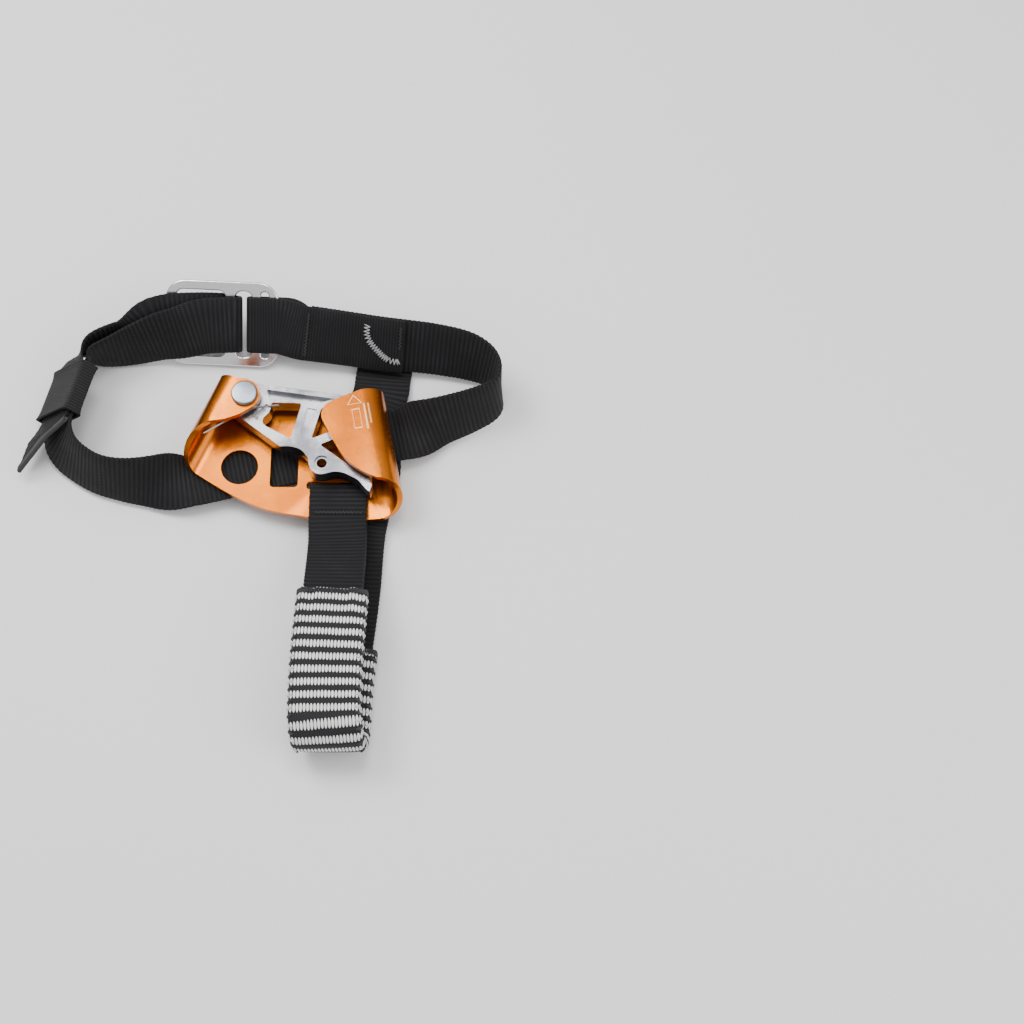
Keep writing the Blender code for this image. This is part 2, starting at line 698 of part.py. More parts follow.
def plate_row(x, y, z, lift=0):
    """Route row behind or before the plate, with the band's width up the plate."""
    return (*on_plate(x, y, z), *LY, lift)


# The band from the junction rightwards, round the ankle and to the buckle: middle, direction across
FAR_BAND = [
    (8.5, 57.0, 13.0, 0.06, 0.72, 0.70),
    (18, 55.8, 12.6, 0.07, 0.68, 0.73),
    (29, 54.0, 12.7, 0.08, 0.65, 0.76),
    (40, 51.9, 13.0, 0.08, 0.65, 0.76),
    (52, 50.4, 12.9, 0.09, 0.62, 0.78),
    (64, 49.1, 12.3, 0.10, 0.58, 0.80),
    (78, 45.8, 12.5, 0.10, 0.50, 0.86),
]
RIGHT_BEND = [
    (87.5, 40.8, 12.8, 0.10, 0.32, 0.94),
    (92.6, 34, 13.0, 0.02, 0.20, 0.98),
    (93.0, 27, 13.0, -0.06, 0.16, 0.98),
    (88.5, 21.8, 12.9, -0.14, 0.24, 0.95),
    (78, 16.8, 12.6, -0.16, 0.36, 0.92),
    (65, 12.4, 11.8, -0.17, 0.55, 0.82),
]
LEFT_BEND = [
    (-57, -15.5, 10.6, -0.02, 0.62, 0.78),
    (-69, -15.6, 12.2, 0.16, 0.38, 0.91),
    (-81, -12.4, 12.4, 0.36, 0.20, 0.91),
    (-92.0, -4.6, 11.9, 0.55, 0.0, 0.84),
    (-98.0, 4, 11.4, 0.62, -0.10, 0.78),
]
KEEPER_START = Vector((-99.6, 12.2, 11.3))
KEEPER_END = Vector((-92.6, 40.2, 11.9))
KEEPER_ACROSS = (0.62, -0.18, 0.76)
UPPER_LEFT_BEND = [
    (-88.2, 44.4, 12.3, 0.38, -0.12, 0.92),
    (-81.8, 46.6, 12.6, 0.18, 0.0, 0.98),
    (-70.8, 50.4, 12.5, 0.04, 0.22, 0.97),
    (-58, 54.2, 14.0, 0.01, 0.44, 0.90),
    (-49, 55.6, 15.2, 0.0, 0.60, 0.80),
]


def keeper_stretch(steps=8):
    """Straight rows of the band under the keeper, and a little past it at both ends."""
    return [(*KEEPER_START.lerp(KEEPER_END, i / steps), *KEEPER_ACROSS) for i in range(steps + 1)]


def buckle_axes():
    """Directions along, across and out of the buckle."""
    along = Vector((1, 0, 0))
    across = Vector((0, math.cos(BUCKLE_RISE), math.sin(BUCKLE_RISE)))
    out = along.cross(across)
    along, across = (along * math.cos(BUCKLE_TURN) + across * math.sin(BUCKLE_TURN),
                     across * math.cos(BUCKLE_TURN) - along * math.sin(BUCKLE_TURN))
    along, out = (along * math.cos(BUCKLE_YAW) + out * math.sin(BUCKLE_YAW),
                  out * math.cos(BUCKLE_YAW) - along * math.sin(BUCKLE_YAW))
    return along, across, out


BAR_TOP = -1.5 * WEB - 2 * GAP
BAR_BACK_LAYER = BAR_TOP - BUCKLE_SHEET - GAP - WEB / 2


def buckle_row(along, out, sideways=0.0):
    """Route row at a place of the buckle; the sizes are in metres."""
    u, w, n = buckle_axes()
    return (*((BUCKLE_AT + u * along + n * out + w * sideways) / MM), *w, 0)


def wrap_rows(middle_along, high, low, facing, sideways=0.0, steps=6):
    """Half turn round a bar, from the front layer to the back one; facing is 1 when it bulges to the right."""
    radius = (high - low) / 2
    rows = []
    for i in range(steps + 1):
        angle = math.radians(90 - 180 * i / steps)
        rows.append(buckle_row(middle_along + facing * radius * math.cos(angle),
                               (high + low) / 2 + radius * math.sin(angle), sideways))
    return rows


BAND_STEPS = 4


def lifted(row, lift):
    return (*row[:6], lift)


def tail_rows():
    """The free end: it goes back outside the band, through the keeper, and curls away at its tip.

    A band that has turned back has its normals on the outside, so these lifts are positive.
    """
    spread = LAYER / MM
    bend = list(reversed(UPPER_LEFT_BEND[:3]))
    rows = [lifted(row, spread + more) for row, more in zip(bend, (3.4, 3.8, 2.4))]
    rows += [lifted(row, spread + (0.5 if i == 0 else 0)) for i, row in enumerate(reversed(keeper_stretch()))]
    along = (KEEPER_START - KEEPER_END).normalized()
    rows += [(*(KEEPER_START + along * step), *KEEPER_ACROSS, spread + more)
             for step, more in ((3.2, 0.6), (6.4, 1.4), (9.4, 2.4))]
    return rows


def ankle_route():
    behind = -(SHEET + GAP + WEB / 2) / MM
    plate = [plate_row(x, y, behind) for x, y in ((51, -0.9), (47, -1.0), (42, -1.2), (0, -3.0), (-34, -4.7),
                                                   (-41, -5.0), (-44, -5.1))]
    approach = [buckle_row(-8 * MM, 1.6 * MM, -1.0 * MM), buckle_row(0, 0.3 * MM, -0.3 * MM)]
    wrap = wrap_rows(MIDDLE_SLOT[0] - 0.8 * MM, 0, BAR_BACK_LAYER, 1)
    over_bar = BAR_TOP + 2 * GAP + WEB / 2
    back = [buckle_row(0.5 * MM, BAR_BACK_LAYER, 0.8 * MM), buckle_row(-7 * MM, BAR_BACK_LAYER * 0.7, 1.2 * MM),
            buckle_row(-14 * MM, over_bar - 0.4 * MM, 1.2 * MM), buckle_row(-20 * MM, over_bar + 0.5 * MM, 0.8 * MM),
            buckle_row(-25.5 * MM, over_bar + 1.8 * MM, 0 * MM),
            buckle_row(-30.5 * MM, over_bar + 4.2 * MM, -2 * MM)]
    return FAR_BAND + RIGHT_BEND + plate + LEFT_BEND + keeper_stretch() + UPPER_LEFT_BEND + approach + wrap + back


def make_ankle_strap(parent, finish):
    route = stations(ankle_route() + tail_rows(), BAND_STEPS)
    mesh = band(route, flat_section(WEB_WIDTH, WEB), TAIL_SLANT, TAIL_SLANT_LENGTH)
    return add("ankle_strap", mesh, parent, finish)


def make_tail_hem(parent, finish):
    """Bound end of the tail: a bar along its slanted edge."""
    strip = Strip(stations(ankle_route() + tail_rows(), BAND_STEPS))
    mesh = bmesh.new()
    rings = []
    for i in range(7):
        sideways = WEB_WIDTH * (i / 6 - 0.5)
        edge = strip.length - sideways * TAIL_SLANT + 4 * GAP
        ring = []
        for reach, lift in ((0, -0.5), (TAIL_HEM_WIDTH, -0.5), (TAIL_HEM_WIDTH, 0.5), (0, 0.5)):
            ring.append(mesh.verts.new(strip.at(edge + reach).point(sideways, lift * TAIL_HEM_THICKNESS)))
        rings.append(ring)
    for near, far in zip(rings, rings[1:]):
        for i in range(4):
            mesh.faces.new((near[i - 1], near[i], far[i], far[i - 1]))
    mesh.faces.new(rings[0])
    mesh.faces.new(list(reversed(rings[-1])))
    return add("tail_hem", mesh, parent, finish)


JUNCTION_ROW = (4.4, 57.6, 13.3, 0.06, 0.73, 0.68)
FRONT_PLY = [lifted(row, LAYER / MM) for row in (JUNCTION_ROW, *FAR_BAND[:4], (50.6, 50.6, 12.9, 0.09, 0.62, 0.78))]


def make_buckle_strap(parent, finish):
    """Loop round the buckle's right bar; its front layer runs on over the junction."""
    top = BAR_TOP + GAP + WEB / 2
    front = [(*row[:6], -row[6]) for row in reversed(FRONT_PLY)]
    middle = [buckle_row(27 * MM, top + 0.6 * MM), buckle_row(20 * MM, top)]
    wrap = wrap_rows(MIDDLE_SLOT[1] + 0.5 * MM, top, BAR_BACK_LAYER, -1)
    back = [buckle_row(20 * MM, BAR_BACK_LAYER), buckle_row(26.5 * MM, BAR_BACK_LAYER),
            buckle_row(31.5 * MM, BAR_BACK_LAYER * 0.72)]
    end = [lifted(JUNCTION_ROW, 0)]
    mesh = band(stations(front + middle + wrap + back + end), flat_section(WEB_WIDTH, WEB))
    return add("buckle_strap", mesh, parent, finish)


def make_buckle(parent, finish):
    u, w, n = buckle_axes()
    holes = [rounded_box(((low + high) / 2, 0), high - low, BUCKLE_SLOT_HEIGHT, min(3 * MM, (high - low) * 0.4))
             for low, high in (LEFT_SLOT, MIDDLE_SLOT, RIGHT_SLOT)]
    outline = rounded_box((0, 0), BUCKLE_LENGTH, BUCKLE_HEIGHT, BUCKLE_CORNER, steps=8)
    made = add("buckle", slab(outline, BAR_TOP - BUCKLE_SHEET, BAR_TOP, holes), parent, finish)
    turn = Matrix((u, w, n)).transposed().to_4x4()
    made.matrix_local = Matrix.Translation(BUCKLE_AT) @ turn
    return made


def keeper_stations(length, lift):
    """Stations of the keeper, centred on the straight stretch; lift is outwards from the band's middle."""
    middle = (KEEPER_START + KEEPER_END) / 2 * MM
    along = (KEEPER_END - KEEPER_START).normalized()
    across = Vector(KEEPER_ACROSS)
    across = (across - along * across.dot(along)).normalized()
    normal = along.cross(across)
    return [Station(middle + along * length * t - normal * lift, across, normal) for t in (-0.5, 0.5)]


KEEPER_INNER = 2 * WEB + GAP + 2 * KEEPER_PLAY
KEEPER_OUTER = KEEPER_INNER + 2 * KEEPER_WALL
KEEPER_WIDTH = WEB_WIDTH + 2 * KEEPER_PLAY + 2 * KEEPER_WALL


def make_keeper(parent, finish, thread):
    """Loop that slides along the band's straight stretch. Its parent empty stands on the sliding line."""
    ends = keeper_stations(KEEPER_LENGTH, LAYER / 2)
    middle = (ends[0].middle + ends[1].middle) / 2
    rest = empty("keeper_axes", parent, Matrix.Translation(middle))
    tube = tube_band([Station(s.middle - middle, s.across, s.normal) for s in ends],
                     KEEPER_WIDTH, KEEPER_OUTER, KEEPER_WALL, KEEPER_CORNER)
    add("strap_keeper", tube, rest, finish)
    seam = [Station(s.middle - middle + s.normal * (KEEPER_OUTER / 2 + THREAD_GAP + THREAD / 2), s.across, s.normal)
            for s in keeper_stations(KEEPER_LENGTH - 4 * MM, LAYER / 2)]
    add("keeper_seam", band(seam, flat_section(TACK_WIDTH, THREAD)), rest, thread)


# Middle of the stirrup strap, in mm: behind the junction, under the ankle strap and to the bend under the boot
REAR_TOP = [
    (43.3, 59.2, 16.2), (42.6, 52.7, 8.6), (42.1, 48.3, 3.4), (41.9, 46.5, 1.6), (41.6, 44.0, 0.95), (41.0, 40, 0.95),
]
REAR_LEG = [
    (32.2, -34, 2.4), (30.6, -60, 1.6), (29.4, -76, 2.6), (28.2, -88, 3.4), (27.2, -98, 3.7), (26.4, -109, 3.9),
]
STIRRUP_BEND_MIDDLE = (24.6, -124.9, 14.7)
STIRRUP_BEND_RADIUS = 10.8
FRONT_LEG = [
    (23.2, -108, 25.6), (23.6, -94, 25.2), (24.2, -79, 23.4), (24.6, -64, 19.8), (24.7, -52, 15.0),
    (24.5, -43, 11.0),
]
REAR_ACROSS = (0.985, -0.17, 0.0)


def crossing_rows():
    """The rear leg where it is sewn to the ankle strap, one layer behind it."""
    under = -(SHEET + 2 * GAP + WEB / 2 + LAYER) / MM
    rows = []
    for x, y, slack in ((39.3, 13.5, 1.7), (38.2, 6, 0.6), (36.6, -5, 0), (35.2, -16, 0.3)):
        rows.append((*on_plate(x, y, under - slack), *LX, 0))
    return rows


def stirrup_rows():
    """Rear leg, bend under the boot and front leg."""
    rows = [(*p, *REAR_ACROSS, 0) for p in REAR_TOP]
    rows += [(40.0, 31, 2.0, *REAR_ACROSS, 0)] + crossing_rows()
    rows += [(*p, 1, 0, 0, 0) for p in REAR_LEG]
    cx, cy, cz = STIRRUP_BEND_MIDDLE
    for i in range(9):
        angle = math.radians(-90 - 180 * i / 8)
        shift = 1.3 - 2.6 * i / 8
        rows.append((cx + shift, cy + STIRRUP_BEND_RADIUS * math.cos(angle),
                     cz + STIRRUP_BEND_RADIUS * math.sin(angle), 1, 0, 0, 0))
    rows += [(*p, 1, 0, 0, 0) for p in FRONT_LEG]
    return rows


WRAP_SETBACK = 0.75 * MM


def plate_bar_rows():
    """The stretch in the plate's seat, through the webbing slot and back behind the bar below it."""
    lift = (GAP + WEB / 2) / MM
    front, back = lift, -(SEAT_DEPTH + SHEET) / MM - lift
    down = Vector((-math.sin(PLATE_ROLL), -math.cos(PLATE_ROLL)))
    slot = WEB_SLOT_AT / MM
    across = (LX * math.cos(PLATE_ROLL) - LY * math.sin(PLATE_ROLL)).normalized()

    def row(distance, height):
        place = slot + down * distance
        return (*on_plate(place.x, place.y, height), *across, 0)

    radius = (front - back) / 2
    bar_top = WEB_SLOT_HEIGHT / MM / 2
    rows = [row(17.2, front + 0.1), row(13, front), row(8.5, front), row(4.5, front)]
    for i in range(7):
        angle = math.radians(90 - 180 * i / 6)
        height = (front + back) / 2 + radius * math.sin(angle)
        rows.append(row(bar_top + WRAP_SETBACK / MM - math.cos(angle) * radius, height))
    rows += [row(6, back), row(11, back), row(16, back), row(19.5, back)]
    return rows


def make_stirrup_strap(parent, finish):
    return_ply = [(*p, 1, 0, 0, -LAYER / MM) for p in reversed(FRONT_LEG[1:5])]
    mesh = band(stations(stirrup_rows() + plate_bar_rows() + return_ply, 4), flat_section(WEB_WIDTH, WEB))
    return add("stirrup_strap", mesh, parent, finish)


SLEEVE_INNER = 2 * WEB + 4 * GAP
SLEEVE_OUTER = SLEEVE_INNER + 2 * SLEEVE_WALL


def make_sleeve(parent, finish, thread):
    """Elastic tube on the doubled strap, centred between its two plies, with a hem round each end."""
    strip = Strip(stations([lifted(row, LAYER / MM / 2) for row in stirrup_rows()], 4))
    bend = strip.nearest(lambda middle: middle.y)
    start, end = bend - SLEEVE_REAR, bend + SLEEVE_FRONT
    tube = tube_band(strip.between(start, end, 36), SLEEVE_WIDTH, SLEEVE_OUTER, SLEEVE_WALL, SLEEVE_CORNER)
    add("stirrup_sleeve", tube, parent, finish)
    grown = 2 * (HEM_WALL + THREAD_GAP)
    for name, place in (("sleeve_hem_rear", start), ("sleeve_hem_front", end - HEM_LENGTH)):
        hem = tube_band(strip.between(place, place + HEM_LENGTH, 2), SLEEVE_WIDTH + grown, SLEEVE_OUTER + grown,
                        HEM_WALL, SLEEVE_CORNER + SLEEVE_WALL + THREAD_GAP)
        add(name, hem, parent, thread)


def make_sewing(parent, grey, black):
    front = Strip(stations(FRONT_PLY, 8))

    def along_ply(x):
        return front.nearest(lambda middle: abs(middle.x - x * MM))

    arc_path = [Vector((along_ply(x), v * MM)) for x, v in (
        (33.5, 8.7), (33.9, 4.8), (36.2, 1.3), (39.8, -3), (44.2, -6.2), (47.2, -7), (49.6, -6.5))]
    smooth = [Vector((p.x, p.y)) for p in curve_through(arc_path, 4)]
    add("junction_bar_tack", thread_run(front, smooth, TACK_WIDTH), parent, grey)
    for name, x, low, high in (("junction_stitch_left", 8, -9.5, 9.5), ("junction_stitch_right", 48.6, 0, 9.5)):
        path = [Vector((along_ply(x), (low + (high - low) * t / 4) * MM)) for t in range(5)]
        add(name, thread_run(front, path, 1.2 * MM), parent, black)

    rear = Strip(stations([(*row[:3], *row[3:6], 0) for row in reversed(crossing_rows())], 4))
    patch = [Vector((rear.length * 0.5 + step * MM, 0)) for step in (-5, 0, 5)]
    add("plate_bar_tack", thread_run(rear, patch, 18 * MM), parent, black)

    bar = [row for row in plate_bar_rows()[:4]]
    ply = Strip(stations([(*row[:3], *(-Vector(row[3:6])), 0) for row in bar], 4))
    row_path = [Vector((ply.length * 0.28, v * MM)) for v in (-10, -5, 0, 5, 10)]
    add("front_leg_stitch", thread_run(ply, row_path, 1.2 * MM), parent, black)


def settle_on_origin(root):
    """Moves the whole part so that its box stands on the origin, centred."""
    bpy.context.view_layer.update()
    graph = bpy.context.evaluated_depsgraph_get()
    low, high = Vector((1e9,) * 3), Vector((-1e9,) * 3)
    for item in bpy.data.objects:
        if item.type not in {"MESH", "CURVE"} or item.hide_render:
            continue
        shown = item.evaluated_get(graph)
        mesh = shown.to_mesh()
        for vert in mesh.vertices:
            place = shown.matrix_world @ vert.co
            low = Vector(map(min, low, place))
            high = Vector(map(max, high, place))
        shown.to_mesh_clear()
    middle = (low + high) / 2
    root.location -= Vector((middle.x, middle.y, low.z))
    bpy.context.view_layer.update()


def build():
    clear_scene()
    root = empty("part_axes")
    lay = Matrix.Translation((0, 0, PLATE_LIFT)) @ Matrix.Rotation(PLATE_TILT, 4, "X")
    axes = empty("plate_axes", root, lay @ Matrix.Rotation(PLATE_ROLL, 4, "Z"))

    make_frame(axes, material("orange_anodised", ORANGE, 0.25, 1.0))
    make_rivet(axes, material("rivet_steel", STEEL, 0.3, 1.0))
    ring("pivot_bushing", axes, material("bushing_bronze", BRONZE, 0.35, 1.0),
         SHANK_RADIUS + BORE_CLEARANCE, BUSHING_RADIUS, GAP, TAB_INNER - GAP)
    ring("rear_washer", axes, material("washer_steel", STEEL, 0.35, 1.0),
         BUSHING_RADIUS + BORE_CLEARANCE, WASHER_RADIUS, GAP, GAP + WASHER)
    ring("front_washer", axes, material("washer_steel", STEEL, 0.35, 1.0),
         BUSHING_RADIUS + BORE_CLEARANCE, WASHER_RADIUS, FRONT_WASHER_BACK, FRONT_WASHER_BACK + WASHER)
    make_spring(axes, material("spring_steel", STEEL, 0.2, 1.0))
    make_cam(axes, material("cam_chrome", CHROME, 0.22, 1.0))

    webbing = material("black_webbing", BLACK, 0.8, 0.0)
    make_ankle_strap(root, webbing)
    make_buckle_strap(root, webbing)
    make_stirrup_strap(root, webbing)
    make_tail_hem(root, webbing)
    make_buckle(root, material("bright_buckle", BRIGHT, 0.18, 1.0))
    black_thread = material("black_thread", BLACK, 0.7, 0.0)
    make_keeper(root, material("keeper_elastic", BLACK, 0.75, 0.0), black_thread)
    make_sleeve(root, material("sleeve_elastic", WHITE, 0.8, 0.0), black_thread)
    make_sewing(root, material("grey_thread", GREY, 0.7, 0.0), black_thread)
    settle_on_origin(root)


build()
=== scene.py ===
"""Visual model of a foot ascender with its boot straps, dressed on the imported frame."""

import json
import logging
import math
from dataclasses import dataclass, field
from enum import Enum
from typing import Callable, Iterable, Optional, Sequence, Union

import bmesh
import bpy
from mathutils import Matrix, Vector


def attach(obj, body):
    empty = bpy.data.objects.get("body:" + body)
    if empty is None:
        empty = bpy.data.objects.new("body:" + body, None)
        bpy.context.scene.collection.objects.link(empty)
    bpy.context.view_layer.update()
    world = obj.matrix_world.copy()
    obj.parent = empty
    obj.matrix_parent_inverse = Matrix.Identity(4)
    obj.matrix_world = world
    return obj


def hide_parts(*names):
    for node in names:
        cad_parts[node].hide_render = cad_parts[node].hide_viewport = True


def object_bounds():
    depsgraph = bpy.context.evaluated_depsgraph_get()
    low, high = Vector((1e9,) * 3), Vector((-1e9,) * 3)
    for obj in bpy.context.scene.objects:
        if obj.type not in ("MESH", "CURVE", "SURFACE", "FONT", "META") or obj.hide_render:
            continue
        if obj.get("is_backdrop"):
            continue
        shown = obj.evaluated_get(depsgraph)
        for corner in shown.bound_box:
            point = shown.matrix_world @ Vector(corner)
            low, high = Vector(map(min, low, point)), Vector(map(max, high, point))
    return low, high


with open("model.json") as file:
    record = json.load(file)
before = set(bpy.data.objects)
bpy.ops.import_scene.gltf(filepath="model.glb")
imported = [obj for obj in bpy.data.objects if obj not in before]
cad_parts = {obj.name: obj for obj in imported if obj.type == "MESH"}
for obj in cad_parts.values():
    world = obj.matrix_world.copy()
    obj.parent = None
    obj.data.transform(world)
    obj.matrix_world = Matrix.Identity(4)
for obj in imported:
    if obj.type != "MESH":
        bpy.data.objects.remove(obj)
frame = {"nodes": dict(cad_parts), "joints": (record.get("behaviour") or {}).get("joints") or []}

MM = 0.001
GAP = 0.3
WEB = 1.8
WEB_WIDTH = 25.0
LAYER = WEB + GAP
SHEET = 2.5
SEAT_DEPTH = 0.8
ROLL = math.radians(11)
TILT = math.radians(3)
TURN = 2 * math.pi
FUZZ_SCALE = 2600
GRAIN_SCALE = 5200
THREAD_RADIUS = 0.24
ELASTIC_RIB_PITCH = 1.35
STRIPE_PITCH = 5.4
TAIL_SLANT = 0.85
BAND_WIDTH = 25.1
WHITE_YARN = (0.78, 0.78, 0.77)
LOG = logging.getLogger("foot_ascender")

Row = tuple[float, ...]
Number = Union[float, "Value"]
Colour = Union[Sequence[float], bpy.types.NodeSocket]


class Weave(Enum):
    """How a band is woven: rib pitch in mm, rib depth and edge serration in mm."""

    RIBBED = (2.0, 0.20, 0.24)
    FLAT = (1.3, 0.08, 0.10)


class Axis(Enum):
    """Which coordinate of a UV map a stripe follows."""

    ALONG = 0
    ACROSS = 1


# ---------------------------------------------------------------- shader writing
class Value:
    """A shader socket that holds a number, with arithmetic on it."""

    def __init__(self, graph: "Graph", socket: bpy.types.NodeSocket) -> None:
        """Wraps a socket of a graph."""
        self.graph = graph
        self.socket = socket

    def _math(self, operation: str, *inputs: Number) -> "Value":
        """Adds one Math node over the inputs."""
        node = self.graph.node("ShaderNodeMath", {"operation": operation}, dict(enumerate(inputs)))
        return Value(self.graph, node.outputs[0])

    def __add__(self, other: Number) -> "Value":
        """Sum."""
        return self._math("ADD", self, other)

    __radd__ = __add__

    def __mul__(self, other: Number) -> "Value":
        """Product."""
        return self._math("MULTIPLY", self, other)

    __rmul__ = __mul__

    def __sub__(self, other: Number) -> "Value":
        """Difference."""
        return self._math("SUBTRACT", self, other)

    def __rsub__(self, other: Number) -> "Value":
        """Difference, reflected."""
        return self._math("SUBTRACT", other, self)

    def __truediv__(self, other: Number) -> "Value":
        """Quotient."""
        return self._math("DIVIDE", self, other)

    def sine(self) -> "Value":
        """Sine of an angle in radians."""
        return self._math("SINE", self)

    def size(self) -> "Value":
        """Absolute value."""
        return self._math("ABSOLUTE", self)

    def part(self) -> "Value":
        """Fraction above the whole number."""
        return self._math("FRACT", self)

    def power(self, other: Number) -> "Value":
        """Power."""
        return self._math("POWER", self, other)

    def least(self, other: Number) -> "Value":
        """Smaller of the two."""
        return self._math("MINIMUM", self, other)

    def most(self, other: Number) -> "Value":
        """Larger of the two."""
        return self._math("MAXIMUM", self, other)

    def above(self, edge: Number, softness: float) -> "Value":
        """Mask that rises from 0 to 1 as the value passes an edge.

        Args:
            edge: where the mask is one half.
            softness: width of the rise.

        Returns:
            The mask, from 0 to 1.
        """
        node = self.graph.node("ShaderNodeMapRange", {"interpolation_type": "SMOOTHSTEP"},
                               {0: self, 1: edge - softness / 2, 2: edge + softness / 2})
        return Value(self.graph, node.outputs[0])


class Graph:
    """The node tree of one material."""

    def __init__(self, name: str) -> None:
        """Starts a material with an empty tree.

        Args:
            name: the material's name.
        """
        self.material = bpy.data.materials.new(name)
        self.material.use_nodes = True
        self.tree = self.material.node_tree
        self.tree.nodes.clear()

    def node(self, kind: str, settings: Optional[dict] = None,
             inputs: Optional[dict] = None) -> bpy.types.Node:
        """Adds a node.

        Args:
            kind: the node's type name.
            settings: properties set before the sockets.
            inputs: socket index or name to a value, a socket or a Value.

        Returns:
            The node.
        """
        made = self.tree.nodes.new(kind)
        for name, value in (settings or {}).items():
            setattr(made, name, value)
        for name, value in (inputs or {}).items():
            socket = made.inputs[name]
            if isinstance(value, Value):
                self.tree.links.new(value.socket, socket)
            elif isinstance(value, bpy.types.NodeSocket):
                self.tree.links.new(value, socket)
            else:
                socket.default_value = value
        return made

    def noise(self, scale: float, detail: float = 3.0,
              vector: Optional[bpy.types.NodeSocket] = None) -> Value:
        """Adds noise over object coordinates, or over the given vector.

        Args:
            scale: cells for each metre.
            detail: how many finer layers it has.
            vector: where it is read, if not at the object coordinates.

        Returns:
            The noise, from 0 to 1.
        """
        where = vector or self.node("ShaderNodeTexCoord").outputs["Object"]
        made = self.node("ShaderNodeTexNoise", None, {"Vector": where, "Scale": scale, "Detail": detail})
        return Value(self, made.outputs[0])

    def stretched(self, scale: Sequence[float]) -> bpy.types.NodeSocket:
        """Object coordinates scaled apart in the three directions."""
        where = self.node("ShaderNodeTexCoord").outputs["Object"]
        return self.node("ShaderNodeMapping", None, {"Vector": where, "Scale": scale}).outputs[0]

    def plate_coordinates(self) -> tuple[Value, Value, Value]:
        """Finds where a point of the surface lies on the plate.

        Returns:
            Its places along, up and out of the plate, in metres.
        """
        where = self.node("ShaderNodeTexCoord").outputs["Object"]
        found = []
        for axis in (LX, LY, LZ):
            dot = self.node("ShaderNodeVectorMath", {"operation": "DOT_PRODUCT"}, {0: where, 1: axis})
            shift = (ORIGIN + Vector((0, 0, PLATE_LIFT)) * MM).dot(axis)
            found.append(Value(self, dot.outputs["Value"]) - shift)
        return found[0], found[1], found[2]

    def uv(self, axis: Axis) -> Value:
        """One coordinate of the piece's own map, in metres."""
        where = self.node("ShaderNodeUVMap", {"uv_map": "weave"}).outputs[0]
        return Value(self, self.node("ShaderNodeSeparateXYZ", None, {0: where}).outputs[axis.value])

    def tint(self, mask: Number, low: Colour, high: Sequence[float]) -> bpy.types.NodeSocket:
        """Blends two colours by a mask.

        Args:
            mask: 0 for the low colour, 1 for the high one.
            low: a colour, or a socket that holds one.
            high: a colour.

        Returns:
            The socket of the blend.
        """
        first = low if isinstance(low, bpy.types.NodeSocket) else (*low, 1)
        made = self.node("ShaderNodeMix", {"data_type": "RGBA"}, {0: mask, 6: first, 7: (*high, 1)})
        return made.outputs[2]

    def bump(self, height: Value, distance: float, strength: float = 1.0) -> bpy.types.NodeSocket:
        """Normal bent by a height from 0 to 1."""
        return self.node("ShaderNodeBump", None, {"Height": height, "Distance": distance,
                                                  "Strength": strength}).outputs[0]

    def finish(self, inputs: dict) -> bpy.types.Material:
        """Closes the material with a Principled shader.

        Args:
            inputs: the shader's input names and what each takes.

        Returns:
            The material.
        """
        shader = self.node("ShaderNodeBsdfPrincipled", None, inputs)
        self.node("ShaderNodeOutputMaterial", None, {"Surface": shader.outputs[0]})
        return self.material


# ---------------------------------------------------------------- finishes
@dataclass(frozen=True)
class Anodised:
    """Dyed satin aluminium with a blasted grain, rougher in worn patches."""

    name: str
    colour: tuple[float, float, float]
    deep: tuple[float, float, float]
    etched: tuple[float, float, float]

    def marks(self, graph: Graph) -> Value:
        """Mask of the etched arrow and the plain bars beside it, on the folded flap.

        Args:
            graph: the material's tree.

        Returns:
            The mask, 1 where the dye is etched away.
        """
        x, y, z = graph.plate_coordinates()
        x, y = x - 33.2 * MM, y - 1.0 * MM
        line = 0.22 * MM
        soft = 0.1 * MM
        box = (x.size() * 2.2).most(y.size() * 0.9 - 0.4 * MM)
        shaft = ((box - 3.6 * MM).size() - line).above(0.0, soft)
        head_y = y - 8.4 * MM
        head = (x.size() + head_y * 0.75).most(head_y * -2.2 - 1.0 * MM)
        tip = ((head - 2.0 * MM).size() - line).above(0.0, soft)
        arrow = 1 - shaft.least(tip)
        bars = 0.0
        for place, low, high in ((3.9, -5.5, 6.5), (5.7, -3.0, 6.5)):
            wide = ((x - place * MM).size() - 0.38 * MM).above(0.0, soft)
            long = ((y - (low + high) / 2 * MM).size() - (high - low) / 2 * MM).above(0.0, soft)
            bars = (1 - wide.most(long)).most(bars)
        return arrow.most(bars) * z.above(15.2 * MM, 0.1 * MM)

    def material(self) -> bpy.types.Material:
        """Builds the material.

        Returns:
            The material.
        """
        graph = Graph(self.name)
        cloud = graph.noise(35, 4)
        grain = graph.noise(GRAIN_SCALE, 2)
        worn = graph.noise(160, 5).above(0.66, 0.12)
        marks = self.marks(graph)
        dyed = graph.tint(cloud.above(0.5, 0.5), self.deep, self.colour)
        mixed = graph.tint(marks * 0.75, dyed, self.etched)
        rough = 0.20 + cloud * 0.10 + worn * 0.08 + marks * 0.15
        return graph.finish({"Base Color": mixed,
                             "Metallic": 0.94, "Roughness": rough, "Normal": graph.bump(grain, 0.00005, 0.35),
                             "Coat Weight": 0.2, "Coat Roughness": 0.1})


@dataclass(frozen=True)
class CastPlate:
    """Plated casting: grainy skin, with painted dark reflections in blotches."""

    name: str
    light: tuple[float, float, float]
    # dark: colour of the painted dark reflections
    dark: tuple[float, float, float]

    def material(self) -> bpy.types.Material:
        """Builds the material.

        Returns:
            The material.
        """
        graph = Graph(self.name)
        cloud = graph.noise(70, 5)
        skin = graph.noise(1500, 4)
        # Painted reflection: random blotches blend towards the dark colour in place of dark reflections in
        # the plating
        return graph.finish({"Base Color": graph.tint(cloud.above(0.52, 0.4), self.dark, self.light),
                             "Metallic": 1.0, "Roughness": 0.16 + cloud * 0.2,
                             "Normal": graph.bump(skin, 0.00012, 0.4)})


